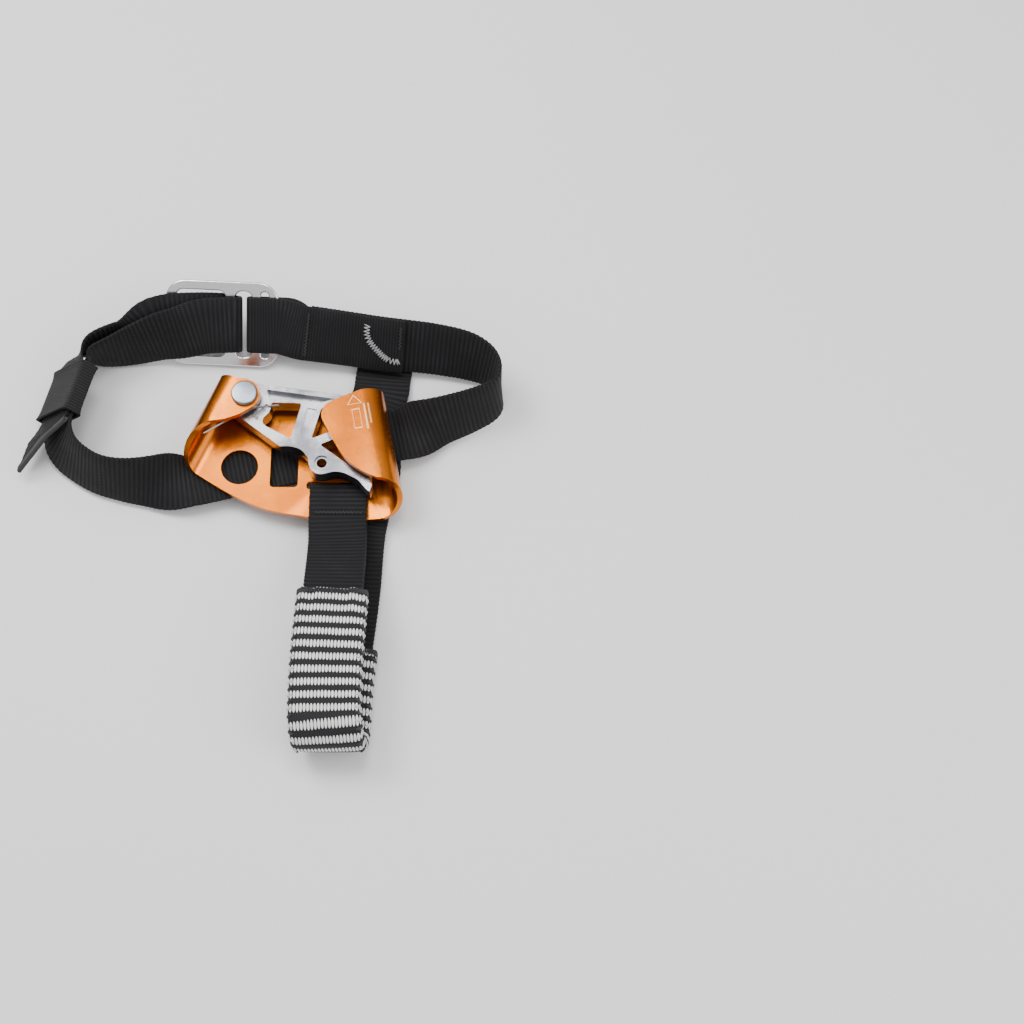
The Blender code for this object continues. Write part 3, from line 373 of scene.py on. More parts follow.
@dataclass(frozen=True)
class Brushed:
    """Steel or bronze with fine lines in one direction."""

    name: str
    colour: tuple[float, float, float]
    rough: float = 0.28
    lines: tuple[float, float, float] = (1.0, 30.0, 30.0)

    def material(self) -> bpy.types.Material:
        """Builds the material.

        Returns:
            The material.
        """
        graph = Graph(self.name)
        lines = graph.noise(260, 4, graph.stretched(self.lines))
        spots = graph.noise(240, 3).above(0.68, 0.1)
        darker = tuple(c * 0.72 for c in self.colour)
        return graph.finish({"Base Color": graph.tint(lines, darker, self.colour), "Metallic": 1.0,
                             "Roughness": self.rough + lines * 0.14 + spots * 0.1,
                             "Normal": graph.bump(lines, 0.00004, 0.5)})


@dataclass(frozen=True)
class Woven:
    """Webbing: ribs across, a fine weave over them, a painted highlight on their crests and a little dust."""

    name: str
    weave: Weave
    colour: tuple[float, float, float] = (0.004, 0.004, 0.005)
    # light: colour of the painted crest highlight, shown more where the dust lies
    light: tuple[float, float, float] = (0.024, 0.024, 0.026)
    yarn: float = 0.9

    def material(self) -> bpy.types.Material:
        """Builds the material.

        Returns:
            The material.
        """
        graph = Graph(self.name)
        along, across = graph.uv(Axis.ALONG), graph.uv(Axis.ACROSS)
        pitch = self.weave.value[0] * MM
        rib = (along * (TURN / pitch)).sine() * 0.5 + 0.5
        slant = (across / (self.yarn * MM) + along / pitch).part() - 0.5
        yarn = 1 - slant.size() * 2
        fuzz = graph.noise(FUZZ_SCALE, 4)
        dust = graph.noise(90, 5).above(0.58, 0.25)
        # Painted highlight: rib and yarn crests, with random fuzz tone, take the lighter colour, more so
        # under the real dust
        crest_highlight_and_dust = (rib * 0.35 + yarn * 0.3 + fuzz * 0.35).above(0.62, 0.4) * (0.55 + dust * 0.45)
        height = rib * 0.45 + yarn * 0.35 + fuzz * 0.3
        return graph.finish({"Base Color": graph.tint(crest_highlight_and_dust, self.colour, self.light),
                             "Roughness": 0.66 + fuzz * 0.2, "Normal": graph.bump(height, 0.00028, 0.8),
                             "Sheen Weight": 0.03, "Sheen Roughness": 0.5, "Specular IOR Level": 0.22})


@dataclass(frozen=True)
class Striped:
    """Elastic tube with pale bars of small ovals across it."""

    name: str
    pitch: float = STRIPE_PITCH
    bar: float = 0.62
    oval: float = 1.4
    oval_height: float = 0.86
    rib: float = 0.95

    def material(self) -> bpy.types.Material:
        """Builds the material.

        Returns:
            The material.
        """
        graph = Graph(self.name)
        along, across = graph.uv(Axis.ALONG), graph.uv(Axis.ACROSS)
        wander = graph.noise(200, 2) * 0.12 - 0.06
        bar = ((along / (self.pitch * MM) + wander).part() - 0.5).size() * 2
        row = ((across / (self.oval * MM)).part() - 0.5).size() * 2
        oval = 1 - (bar / self.bar).power(2) - (row / self.oval_height).power(2)
        pale = oval.above(0.08, 0.22)
        rib = (across * (TURN / (self.rib * MM))).sine() * 0.5 + 0.5
        cord = (along * (TURN / (ELASTIC_RIB_PITCH * MM))).sine() * 0.5 + 0.5
        fuzz = graph.noise(FUZZ_SCALE, 4)
        dark = graph.tint(rib * 0.4 + fuzz * 0.5, (0.004, 0.004, 0.005), (0.022, 0.022, 0.024))
        mixed = graph.tint(pale, dark, WHITE_YARN)
        height = pale * 0.5 + rib * 0.25 + cord * 0.2 + fuzz * 0.25
        return graph.finish({"Base Color": mixed, "Roughness": 0.72 + fuzz * 0.15,
                             "Normal": graph.bump(height, 0.00035, 0.8), "Sheen Weight": 0.1,
                             "Specular IOR Level": 0.3})


@dataclass(frozen=True)
class Yarn:
    """Sewing thread, with a twist of light and dark along it."""

    name: str
    colour: tuple[float, float, float]

    def material(self) -> bpy.types.Material:
        """Builds the material.

        Returns:
            The material.
        """
        graph = Graph(self.name)
        twist = graph.noise(3000, 3)
        darker = tuple(c * 0.55 for c in self.colour)
        return graph.finish({"Base Color": graph.tint(twist, darker, self.colour),
                             "Roughness": 0.55 + twist * 0.25, "Normal": graph.bump(twist, 0.0001, 0.6),
                             "Sheen Weight": 0.1})


@dataclass(frozen=True)
class Table:
    """Matt pale board that the part lies on."""

    name: str

    def material(self) -> bpy.types.Material:
        """Builds the material.

        Returns:
            The material.
        """
        graph = Graph(self.name)
        cloud = graph.noise(3, 2)
        return graph.finish({"Base Color": graph.tint(cloud, (0.80, 0.80, 0.80), (0.84, 0.84, 0.84)),
                             "Roughness": 0.62, "Specular IOR Level": 0.2})


# ---------------------------------------------------------------- routes
@dataclass
class Station:
    """A place on a band: its middle, the direction across it and its normal."""

    middle: Vector
    across: Vector
    normal: Vector

    def point(self, sideways: float, lift: float) -> Vector:
        """Point beside the middle, in metres."""
        return self.middle + self.across * sideways + self.normal * lift


def plate_axes() -> tuple[Vector, Vector, Vector]:
    """Finds how the plate lies.

    Returns:
        Directions along, up and out of the plate.
    """
    along = Vector((math.cos(ROLL), math.sin(ROLL) * math.cos(TILT), math.sin(ROLL) * math.sin(TILT)))
    up = Vector((-math.sin(ROLL), math.cos(ROLL) * math.cos(TILT), math.cos(ROLL) * math.sin(TILT)))
    return along, up, along.cross(up)


LX, LY, LZ = plate_axes()
PLATE_LIFT = 10.5


def on_plate(x: float, y: float, z: float) -> Vector:
    """Route coordinates, in mm, of a point given along, up and out of the plate."""
    return LX * x + LY * y + LZ * z + Vector((0, 0, PLATE_LIFT))


def route_origin() -> Vector:
    """Where the routes' zero lies in the row frame, in metres, from the cam's axis in the record."""
    pivot = next(joint for joint in frame["joints"] if joint["name"] == "cam_pivot")["pos_m"]
    return Vector(pivot) - on_plate(-12.5, 21.6, 7.2) * MM


ORIGIN = route_origin()


def smooth_through(points: Sequence[Vector], steps: int) -> list[Vector]:
    """Smooth points through the given ones.

    Args:
        points: vectors of any size.
        steps: points for each span.

    Returns:
        The points of the curve.
    """
    found = []
    for i in range(len(points) - 1):
        b, c = points[i], points[i + 1]
        a = points[i - 1] if i else b * 2 - c
        d = points[i + 2] if i + 2 < len(points) else c * 2 - b
        for k in range(steps):
            t = k / steps
            found.append(0.5 * (2 * b + (c - a) * t + (2 * a - 5 * b + 4 * c - d) * t**2
                                + (3 * b - a - 3 * c + d) * t**3))
    found.append(points[-1])
    return found


class Strip:
    """A band's stations, with the distance of each from the first, in metres."""

    def __init__(self, route: Iterable[Row], steps: int = 4) -> None:
        """Lays stations on a route.

        Args:
            route: rows of x, y, z, across x, y, z and lift, in mm.
            steps: stations for each row.
        """
        rows = smooth_through([Vector(row) for row in route], steps)
        middles = [Vector(row[:3]) * MM + ORIGIN for row in rows]
        self.stations: list[Station] = []
        for i, row in enumerate(rows):
            along = (middles[min(i + 1, len(rows) - 1)] - middles[max(i - 1, 0)]).normalized()
            across = Vector(row[3:6])
            across = (across - along * across.dot(along)).normalized()
            normal = along.cross(across)
            self.stations.append(Station(middles[i] + normal * row[6] * MM, across, normal))
        self.distances = [0.0]
        for near, far in zip(self.stations, self.stations[1:]):
            self.distances.append(self.distances[-1] + (far.middle - near.middle).length)
        self.length = self.distances[-1]

    def at(self, distance: float) -> Station:
        """Finds the station at a distance; past the end it goes straight on.

        Args:
            distance: how far along the strip, in metres.

        Returns:
            The station.
        """
        if distance > self.length:
            end = self.stations[-1]
            along = end.across.cross(end.normal)
            return Station(end.middle + along * (distance - self.length), end.across, end.normal)
        distance = max(0.0, distance)
        i = next(k for k in range(1, len(self.stations)) if self.distances[k] >= distance - 1e-9)
        share = (distance - self.distances[i - 1]) / (self.distances[i] - self.distances[i - 1])
        near, far = self.stations[i - 1], self.stations[i]
        return Station(near.middle.lerp(far.middle, share), near.across.lerp(far.across, share).normalized(),
                       near.normal.lerp(far.normal, share).normalized())

    def nearest(self, measure: Callable[[Vector], float]) -> float:
        """Distance of the station whose middle has the lowest measure."""
        best = min(range(len(self.stations)), key=lambda i: measure(self.stations[i].middle - ORIGIN))
        return self.distances[best]


# ---------------------------------------------------------------- mesh helpers
def new_piece(name: str, mesh: bmesh.types.BMesh, finish: bpy.types.Material,
              smooth: bool = True) -> bpy.types.Object:
    """Closes a mesh into an object at the origin.

    Args:
        name: name of the piece.
        mesh: its shape in the row frame.
        finish: its material.
        smooth: whether its faces are shaded smooth.

    Returns:
        The object.
    """
    bmesh.ops.recalc_face_normals(mesh, faces=mesh.faces[:])
    for face in mesh.faces:
        face.smooth = smooth
    data = bpy.data.meshes.new(name)
    mesh.to_mesh(data)
    mesh.free()
    data.materials.append(finish)
    made = bpy.data.objects.new(name, data)
    bpy.context.scene.collection.objects.link(made)
    return made


def skin(made: bmesh.types.BMesh, rings: Sequence[list], spots: Optional[Sequence[list]] = None,
         caps: bool = True) -> None:
    """Joins rings of vertices by faces.

    Args:
        made: the mesh that holds them.
        rings: the vertices of each ring, in order.
        spots: the map place of each vertex, if the mesh has a map.
        caps: whether the first and the last ring are closed.
    """
    layer = made.loops.layers.uv.get("weave")
    for i in range(len(rings) - 1):
        for k in range(len(rings[0])):
            corners = ((i, k - 1), (i, k), (i + 1, k), (i + 1, k - 1))
            face = made.faces.new([rings[n][m] for n, m in corners])
            for loop, (n, m) in zip(face.loops, corners if spots else ()):
                loop[layer].uv = spots[n][m]
    if caps:
        made.faces.new(rings[0])
        made.faces.new(list(reversed(rings[-1])))


def plain(made: bpy.types.Object) -> bpy.types.Object:
    """Turns an object's modifiers into its mesh.

    Args:
        made: the object, which keeps its name and place.

    Returns:
        The same object.
    """
    graph = bpy.context.evaluated_depsgraph_get()
    data = bpy.data.meshes.new_from_object(made.evaluated_get(graph), depsgraph=graph)
    made.modifiers.clear()
    old = made.data
    made.data = data
    bpy.data.meshes.remove(old)
    return made


@dataclass
class BandShape:
    """Cross-section of a band in mm, with its weave."""

    width: float
    thickness: float
    weave: Weave
    slant: float = 0.0
    slant_length: float = 17.0

    def section(self) -> list[tuple[float, float]]:
        """Lists the points round the band.

        Returns:
            Sideways and lift of each point, in mm.
        """
        w, t = self.width / 2, self.thickness / 2
        top = [(-w + 0.8, t), (-w * 0.5, t), (0, t), (w * 0.5, t), (w - 0.8, t)]
        side = [(w - 0.25, t * 0.72), (w, 0.0), (w - 0.25, -t * 0.72)]
        return top + side + [(-x, -y) for x, y in top] + [(-x, -y) for x, y in side]

    def mesh(self, strip: Strip) -> bmesh.types.BMesh:
        """Carries the section along a strip, ribbed and serrated.

        Args:
            strip: the route of the band's middle.

        Returns:
            The mesh, with a map in metres along and across the band.
        """
        pitch, depth, teeth = self.weave.value
        made = bmesh.new()
        made.loops.layers.uv.new("weave")
        count = max(2, int(strip.length / MM / pitch * 4))
        points = self.section()
        rings, maps = [], []
        for i in range(count + 1):
            distance = strip.length * i / count
            rib = 0.5 + 0.5 * math.sin(TURN * distance / MM / pitch)
            share = max(0.0, 1 - (strip.length - distance) / (self.slant_length * MM)) * self.slant
            station = strip.at(distance)
            ring, spots = [], []
            for sideways, lift in points:
                edge = abs(sideways) > self.width / 2 - 0.5
                reach = sideways - math.copysign(teeth * (1 - rib), sideways) * edge
                height = lift * (1 - depth * (1 - rib))
                place = strip.at(distance - sideways * MM * share) if share else station
                ring.append(made.verts.new(place.point(reach * MM, height * MM)))
                spots.append((distance, sideways * MM))
            rings.append(ring)
            maps.append(spots)
        skin(made, rings, maps)
        return made


@dataclass
class TubeShape:
    """Flat elastic tube in mm: its outside, wall, and how its ends waver."""

    width: float
    height: float
    wall: float
    rib: float = 0.0
    waver: float = 0.0
    waver_pitch: float = 7.0
    roundness: float = 0.38
    flare: float = 0.0
    flare_length: float = 5.0
    waver_share: float = 0.2

    def outline(self, shrink: float, count: int = 56) -> list[tuple[float, float]]:
        """Lists the points of the rounded flat outline.

        Args:
            shrink: how far inside the outer face it lies, in mm.
            count: number of points.

        Returns:
            Sideways and lift of each point, in mm.
        """
        w, h = self.width / 2 - shrink, self.height / 2 - shrink
        found = []
        for i in range(count):
            angle = TURN * i / count
            c, s = math.cos(angle), math.sin(angle)
            found.append((w * math.copysign(abs(c) ** self.roundness, c) if c else 0.0,
                          h * math.copysign(abs(s) ** self.roundness, s) if s else 0.0))
        return found

    def mesh(self, strip: Strip, start: float, end: float, step: float = 0.8) -> bmesh.types.BMesh:
        """Carries the tube along a strip.

        Args:
            strip: the route of the tube's middle.
            start: distance of its first end, in metres.
            end: distance of its other end, in metres.
            step: length between rings, in mm.

        Returns:
            The mesh, with a map in metres along and across the tube.
        """
        made = bmesh.new()
        made.loops.layers.uv.new("weave")
        count = max(2, int((end - start) / MM / step))
        outer, inner = self.outline(0), self.outline(self.wall)
        walls = []
        for outline, grown in ((outer, 1.0), (inner, 0.0)):
            rings, maps = [], []
            for i in range(count + 1):
                distance = start + (end - start) * i / count
                mouth = max(0.0, 1 - min(distance - start, end - distance) / MM / self.flare_length)
                mouth = 1 + self.flare * mouth**2 / (self.height / 2)
                ends = max(0.0, (i / count - (1 - self.waver_share)) / self.waver_share) ** 2
                ring = []
                for sideways, lift in outline:
                    swing = math.sin(TURN * sideways / self.waver_pitch) * self.waver * ends
                    swell = mouth + grown * self.rib * math.sin(TURN * distance / MM / ELASTIC_RIB_PITCH)
                    station = strip.at(distance + swing * MM)
                    ring.append(made.verts.new(station.point(sideways * MM, lift * swell * MM)))
                rings.append(ring)
                maps.append([(distance, sideways * MM) for sideways, _ in outline])
            walls.append(rings)
            skin(made, rings, maps, False)
        for end_ring in (0, -1):
            skin(made, [walls[0][end_ring], walls[1][end_ring]], None, False)
        return made


# ---------------------------------------------------------------- stitches
class StitchTree:
    """Geometry Nodes tree that turns short edges into plump stitches."""

    jitter: float = 0.00004
    slimness: float = 0.45
    sides: int = 6

    def __init__(self) -> None:
        """Builds the tree with its named inputs."""
        self.tree = bpy.data.node_groups.new("stitches", "GeometryNodeTree")
        face = self.tree.interface
        face.new_socket("Geometry", in_out="INPUT", socket_type="NodeSocketGeometry")
        self.inputs = {}
        for name, kind in (("Thickness", "NodeSocketFloat"), ("Jitter", "NodeSocketFloat"),
                           ("Finish", "NodeSocketMaterial")):
            socket = face.new_socket(name, in_out="INPUT", socket_type=kind)
            self.inputs[name] = socket.identifier
        face.new_socket("Geometry", in_out="OUTPUT", socket_type="NodeSocketGeometry")
        self._fill()

    def _node(self, kind: str, settings: Optional[dict] = None) -> bpy.types.Node:
        """Adds a node.

        Args:
            kind: the node's type name.
            settings: its properties.

        Returns:
            The node.
        """
        made = self.tree.nodes.new(kind)
        for name, value in (settings or {}).items():
            setattr(made, name, value)
        return made

    def _fill(self) -> None:
        """Adds the nodes: edge, curve, swelling tube, material."""
        link = self.tree.links.new
        given, result = self._node("NodeGroupInput"), self._node("NodeGroupOutput")
        jitter = self._node("FunctionNodeRandomValue", {"data_type": "FLOAT_VECTOR"})
        low = self._node("ShaderNodeVectorMath", {"operation": "SCALE"})
        jitter.inputs["Min"].default_value = (-1, -1, -1)
        jitter.inputs["Max"].default_value = (1, 1, 1)
        jitter.inputs["Seed"].default_value = 7
        link(jitter.outputs[0], low.inputs[0])
        link(given.outputs["Jitter"], low.inputs["Scale"])
        moved = self._node("GeometryNodeSetPosition")
        link(given.outputs["Geometry"], moved.inputs["Geometry"])
        link(low.outputs[0], moved.inputs["Offset"])
        curve = self._node("GeometryNodeMeshToCurve")
        link(moved.outputs[0], curve.inputs[0])
        cut = self._node("GeometryNodeResampleCurve")
        cut.inputs["Count"].default_value = self.sides
        link(curve.outputs[0], cut.inputs["Curve"])
        place = self._node("GeometryNodeSplineParameter")
        swell = self._node("ShaderNodeFloatCurve")
        line = swell.mapping.curves[0]
        line.points[0].location = (0, self.slimness)
        line.points[1].location = (1, self.slimness)
        line.points.new(0.5, 1.0)
        swell.mapping.update()
        link(place.outputs["Factor"], swell.inputs["Value"])
        circle = self._node("GeometryNodeCurvePrimitiveCircle")
        circle.inputs["Resolution"].default_value = self.sides
        link(given.outputs["Thickness"], circle.inputs["Radius"])
        tube = self._node("GeometryNodeCurveToMesh")
        tube.inputs["Fill Caps"].default_value = True
        link(cut.outputs[0], tube.inputs["Curve"])
        link(circle.outputs[0], tube.inputs["Profile Curve"])
        link(swell.outputs[0], tube.inputs["Scale"])
        soft = self._node("GeometryNodeSetShadeSmooth")
        link(tube.outputs[0], soft.inputs[0])
        real = self._node("GeometryNodeRealizeInstances")
        link(soft.outputs[0], real.inputs[0])
        dressed = self._node("GeometryNodeSetMaterial")
        link(real.outputs[0], dressed.inputs[0])
        link(given.outputs["Finish"], dressed.inputs["Material"])
        link(dressed.outputs[0], result.inputs[0])

    def sew(self, name: str, edges: Sequence[tuple[Vector, Vector]], thickness: float,
            finish: bpy.types.Material) -> bpy.types.Object:
        """Makes one piece of stitches.

        Args:
            name: name of the piece.
            edges: the two ends of each stitch, in metres.
            thickness: radius of the thread, in mm.
            finish: the thread's material.

        Returns:
            The finished plain mesh object.
        """
        data = bpy.data.meshes.new(name)
        points = [point for edge in edges for point in edge]
        data.from_pydata(points, [(2 * i, 2 * i + 1) for i in range(len(edges))], [])
        made = bpy.data.objects.new(name, data)
        bpy.context.scene.collection.objects.link(made)
        modifier = made.modifiers.new("stitches", "NODES")
        modifier.node_group = self.tree
        modifier[self.inputs["Thickness"]] = thickness * MM
        modifier[self.inputs["Jitter"]] = self.jitter
        modifier[self.inputs["Finish"]] = finish
        return plain(made)


def zigzag(strip: Strip, path: Sequence[tuple[float, float]], width: float, lift: float,
           pitch: float) -> list[tuple[Vector, Vector]]:
    """Zigzag stitches along a path on a band.

    Args:
        strip: the band.
        path: points of distance and sideways, in metres.
        width: width of the zigzag, in mm.
        lift: height of the thread over the band's middle, in mm.
        pitch: length of a stitch along the path, in mm.

    Returns:
        The ends of each stitch.
    """
    fine = [Vector((a, b, 0)) for a, b in path]
    spots = []
    for near, far in zip(fine, fine[1:]):
        side = Vector((-(far - near).y, (far - near).x, 0)).normalized()
        steps = max(1, round((far - near).length / MM / pitch))
        for k in range(steps):
            spots.append((near.lerp(far, k / steps), side))
    found = []
    for i in range(len(spots) - 1):
        (p, ps), (q, qs) = spots[i], spots[i + 1]
        sign = 1 if i % 2 else -1
        a, b = p + ps * width / 2 * MM * sign, q - qs * width / 2 * MM * sign
        found.append((strip.at(a.x).point(a.y, lift * MM), strip.at(b.x).point(b.y, lift * MM)))
    return found


def ride(piece: bpy.types.Object, body: str, slot: str, *nodes: str) -> None:
    """Puts a finished piece on its body.

    Args:
        piece: the piece.
        body: the body it moves with.
        slot: the record's material slot of its finish; not used.
        nodes: the CAD nodes it stands for.
    """
    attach(piece, body)
    if nodes:
        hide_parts(*nodes)
    LOG.info("%s: %d faces on %s", piece.name, len(piece.data.polygons), body)


# ---------------------------------------------------------------- metal clamp
@dataclass
class Clamp:
    """Bent frame, cam, pivot and buckle: the metal pieces."""

    edge: float = 0.35
    buckle_edge: float = 0.45
    rivet_edge: float = 0.2
    crease: float = 32.0
    weld: float = 2e-6
    flatness: float = 0.6

    def refined(self, node: str, finish: bpy.types.Material, body: str, slot: str, edge: float) -> None:
        """Replaces a metal node by a merged copy with broken edges.

        Args:
            node: name of the CAD node.
            finish: its material.
            body: the body it moves with.
            slot: the record's material slot; not used.
            edge: width of the broken edge, in mm.
        """
        data = frame["nodes"][node].data.copy()
        mesh = bmesh.new()
        mesh.from_mesh(data)
        bmesh.ops.remove_doubles(mesh, verts=mesh.verts[:], dist=self.weld)
        bmesh.ops.dissolve_limit(mesh, angle_limit=math.radians(self.flatness), verts=mesh.verts[:],
                                 edges=mesh.edges[:])
        for face in mesh.faces:
            face.smooth = True
        for line in mesh.edges:
            line.smooth = len(line.link_faces) == 2 and line.calc_face_angle(0) < math.radians(self.crease)
        mesh.to_mesh(data)
        mesh.free()
        data.materials.clear()
        data.materials.append(finish)
        made = bpy.data.objects.new(node + "_metal", data)
        bpy.context.scene.collection.objects.link(made)
        if edge:
            bevel = made.modifiers.new("edge", "BEVEL")
            bevel.width = edge * MM
            bevel.segments = 2
            bevel.limit_method = "ANGLE"
            bevel.angle_limit = math.radians(self.crease + 10)
            bevel.harden_normals = False
            plain(made)
        ride(made, body, slot, node)

    def build(self) -> None:
        """Dresses every metal piece."""
        orange = Anodised("orange_anodised_sheet", (0.74, 0.195, 0.004), (0.50, 0.115, 0.002),
                          (0.88, 0.55, 0.28)).material()
        plated = CastPlate("plated_cam", (0.50, 0.50, 0.52), (0.20, 0.20, 0.22)).material()
        bright = Brushed("bright_buckle_plate", (0.93, 0.93, 0.95), 0.10).material()
        head = Brushed("rivet_head", (0.34, 0.37, 0.43), 0.22).material()
        washer = Brushed("washer_face", (0.52, 0.53, 0.55), 0.25).material()
        wire = Brushed("spring_wire", (0.48, 0.49, 0.52), 0.22, (30, 30, 1)).material()
        bronze = Brushed("bushing_bronze", (0.55, 0.38, 0.18), 0.30).material()
        self.refined("frame", orange, "clamp", "orange_anodised", self.edge)
        self.refined("cam", plated, "cam", "cam_chrome", 0.0)
        self.refined("buckle", bright, "clamp", "bright_buckle", self.buckle_edge)
        self.refined("pivot_rivet", head, "clamp", "rivet_steel", self.rivet_edge)
        for node, finish in (("front_washer", washer), ("rear_washer", washer), ("cam_spring", wire),
                             ("pivot_bushing", bronze)):
            data = frame["nodes"][node].data
            data.materials.clear()
            data.materials.append(finish)


# ---------------------------------------------------------------- straps
FAR_BAND = [
    (8.5, 57.0, 13.0, 0.06, 0.72, 0.70),
    (18, 55.8, 12.6, 0.07, 0.68, 0.73),
    (29, 54.0, 12.7, 0.08, 0.65, 0.76),
    (40, 51.9, 13.0, 0.08, 0.65, 0.76),
    (52, 50.4, 12.9, 0.09, 0.62, 0.78),
    (64, 49.1, 12.3, 0.10, 0.58, 0.80),
    (78, 45.8, 12.5, 0.10, 0.50, 0.86),
]
RIGHT_BEND = [
    (87.5, 40.8, 12.8, 0.10, 0.32, 0.94),
    (92.6, 34, 13.0, 0.02, 0.20, 0.98),
    (93.0, 27, 13.0, -0.06, 0.16, 0.98),
    (88.5, 21.8, 12.9, -0.14, 0.24, 0.95),
    (78, 16.8, 12.6, -0.16, 0.36, 0.92),
    (65, 12.4, 11.8, -0.17, 0.55, 0.82),
]
LEFT_BEND = [
    (-57, -15.5, 10.6, -0.02, 0.62, 0.78),
    (-69, -15.6, 12.2, 0.16, 0.38, 0.91),
    (-81, -12.4, 12.4, 0.36, 0.20, 0.91),
    (-92.0, -4.6, 11.9, 0.55, 0.0, 0.84),
    (-98.0, 4, 11.4, 0.62, -0.10, 0.78),
]
KEEPER_START = Vector((-99.6, 12.2, 11.3))
KEEPER_END = Vector((-92.6, 40.2, 11.9))
KEEPER_ACROSS = (0.62, -0.18, 0.76)
UPPER_LEFT_BEND = [
    (-88.2, 44.4, 12.3, 0.38, -0.12, 0.92),
    (-81.8, 46.6, 12.6, 0.18, 0.0, 0.98),
    (-70.8, 50.4, 12.5, 0.04, 0.22, 0.97),
    (-58, 54.2, 14.0, 0.01, 0.44, 0.90),
    (-49, 55.6, 15.2, 0.0, 0.60, 0.80),
]


def keeper_stretch(steps: int = 8) -> list[Row]:
    """Straight rows of the band under the keeper."""
    return [(*KEEPER_START.lerp(KEEPER_END, i / steps), *KEEPER_ACROSS) for i in range(steps + 1)]


def with_lift(rows: Sequence[Row]) -> list[Row]:
    """The rows, each with a lift, which is 0 where it has none."""
    return [row if len(row) == 7 else (*row, 0) for row in rows]


BUCKLE_AT = Vector((-31, 59.4, 15.9))
BUCKLE_TURN = math.radians(-2)
BUCKLE_YAW = math.radians(3)
BUCKLE_RISE = math.radians(40)
BUCKLE_SHEET = 2.0
MIDDLE_SLOT = (6, 13.5)


def buckle_axes() -> tuple[Vector, Vector, Vector]:
    """Finds how the buckle lies.

    Returns:
        Directions along, across and out of the buckle.
    """
    along = Vector((1, 0, 0))
    across = Vector((0, math.cos(BUCKLE_RISE), math.sin(BUCKLE_RISE)))
    out = along.cross(across)
    along, across = (along * math.cos(BUCKLE_TURN) + across * math.sin(BUCKLE_TURN),
                     across * math.cos(BUCKLE_TURN) - along * math.sin(BUCKLE_TURN))
    along, out = (along * math.cos(BUCKLE_YAW) + out * math.sin(BUCKLE_YAW),
                  out * math.cos(BUCKLE_YAW) - along * math.sin(BUCKLE_YAW))
    return along, across, out


BAR_TOP = -1.5 * WEB - 2 * GAP
BAR_BACK_LAYER = BAR_TOP - BUCKLE_SHEET - GAP - WEB / 2


def plate_row(x: float, y: float, z: float) -> Row:
    """Row behind or before the plate, with the band's width up the plate."""
    return (*on_plate(x, y, z), *LY, 0)


def buckle_row(along: float, out: float, sideways: float = 0.0) -> Row:
    """Row at a place of the buckle, in mm."""
    u, w, n = buckle_axes()
    return (*(BUCKLE_AT + u * along + n * out + w * sideways), *w, 0)


def wrap_rows(middle: float, high: float, low: float, facing: int, steps: int = 6) -> list[Row]:
    """Lays a half turn round a bar, from the front layer to the back one.

    Args:
        middle: place of the turn's middle along the buckle, in mm.
        high: height of the front layer, in mm.
        low: height of the back layer, in mm.
        facing: 1 where the turn bulges along the buckle, -1 where against it.
        steps: rows less one.

    Returns:
        The rows.
    """
    radius = (high - low) / 2
    rows = []
    for i in range(steps + 1):
        angle = math.radians(90 - 180 * i / steps)
        rows.append(buckle_row(middle + facing * radius * math.cos(angle),
                               (high + low) / 2 + radius * math.sin(angle)))
    return rows


def lifted(row: Row, lift: float) -> Row:
    """The row with another lift."""
    return (*row[:6], lift)


def tail_rows() -> list[Row]:
    """Lays the free end: back outside the band, through the keeper, and curled away at its tip.

    A band that has turned back has its normals on the outside, so these lifts are positive.

    Returns:
        The rows.
    """
    bend = list(reversed(UPPER_LEFT_BEND[:3]))
    rows = [lifted(row, LAYER + more) for row, more in zip(bend, (3.4, 3.8, 2.4))]
    rows += [lifted(row, LAYER + (0.5 if i == 0 else 0)) for i, row in enumerate(reversed(keeper_stretch()))]
    along = (KEEPER_START - KEEPER_END).normalized()
    rows += [(*(KEEPER_START + along * step), *KEEPER_ACROSS, LAYER + more)
             for step, more in ((3.2, 0.6), (6.4, 1.4), (9.4, 2.4))]
    return with_lift(rows)


def ankle_route() -> list[Row]:
    """Lays the ankle strap from the far band to the buckle.

    Returns:
        The rows.
    """
    behind = -(SHEET + GAP + WEB / 2)
    plate = [plate_row(x, y, behind) for x, y in ((51, -0.9), (47, -1.0), (42, -1.2), (0, -3.0),
                                                  (-34, -4.7), (-41, -5.0), (-44, -5.1))]
    approach = [buckle_row(-8, 1.6, -1.0), buckle_row(0, 0.3, -0.3)]
    wrap = wrap_rows(MIDDLE_SLOT[0] - 0.8, 0, BAR_BACK_LAYER, 1)
    over_bar = BAR_TOP + 2 * GAP + WEB / 2
    back = [buckle_row(0.5, BAR_BACK_LAYER, 0.8), buckle_row(-7, BAR_BACK_LAYER * 0.7, 1.2),
            buckle_row(-14, over_bar - 0.4, 1.2), buckle_row(-20, over_bar + 0.5, 0.8),
            buckle_row(-25.5, over_bar + 1.8, 0), buckle_row(-30.5, over_bar + 4.2, -2)]
    round_ankle = FAR_BAND + RIGHT_BEND + plate + LEFT_BEND + keeper_stretch() + UPPER_LEFT_BEND
    return with_lift(round_ankle + approach + wrap + back)


JUNCTION_ROW = (4.4, 57.6, 13.3, 0.06, 0.73, 0.68)
FRONT_PLY_END = (50.6, 50.6, 12.9, 0.09, 0.62, 0.78)
FRONT_PLY = [lifted(row, LAYER) for row in (JUNCTION_ROW, *FAR_BAND[:4], FRONT_PLY_END)]


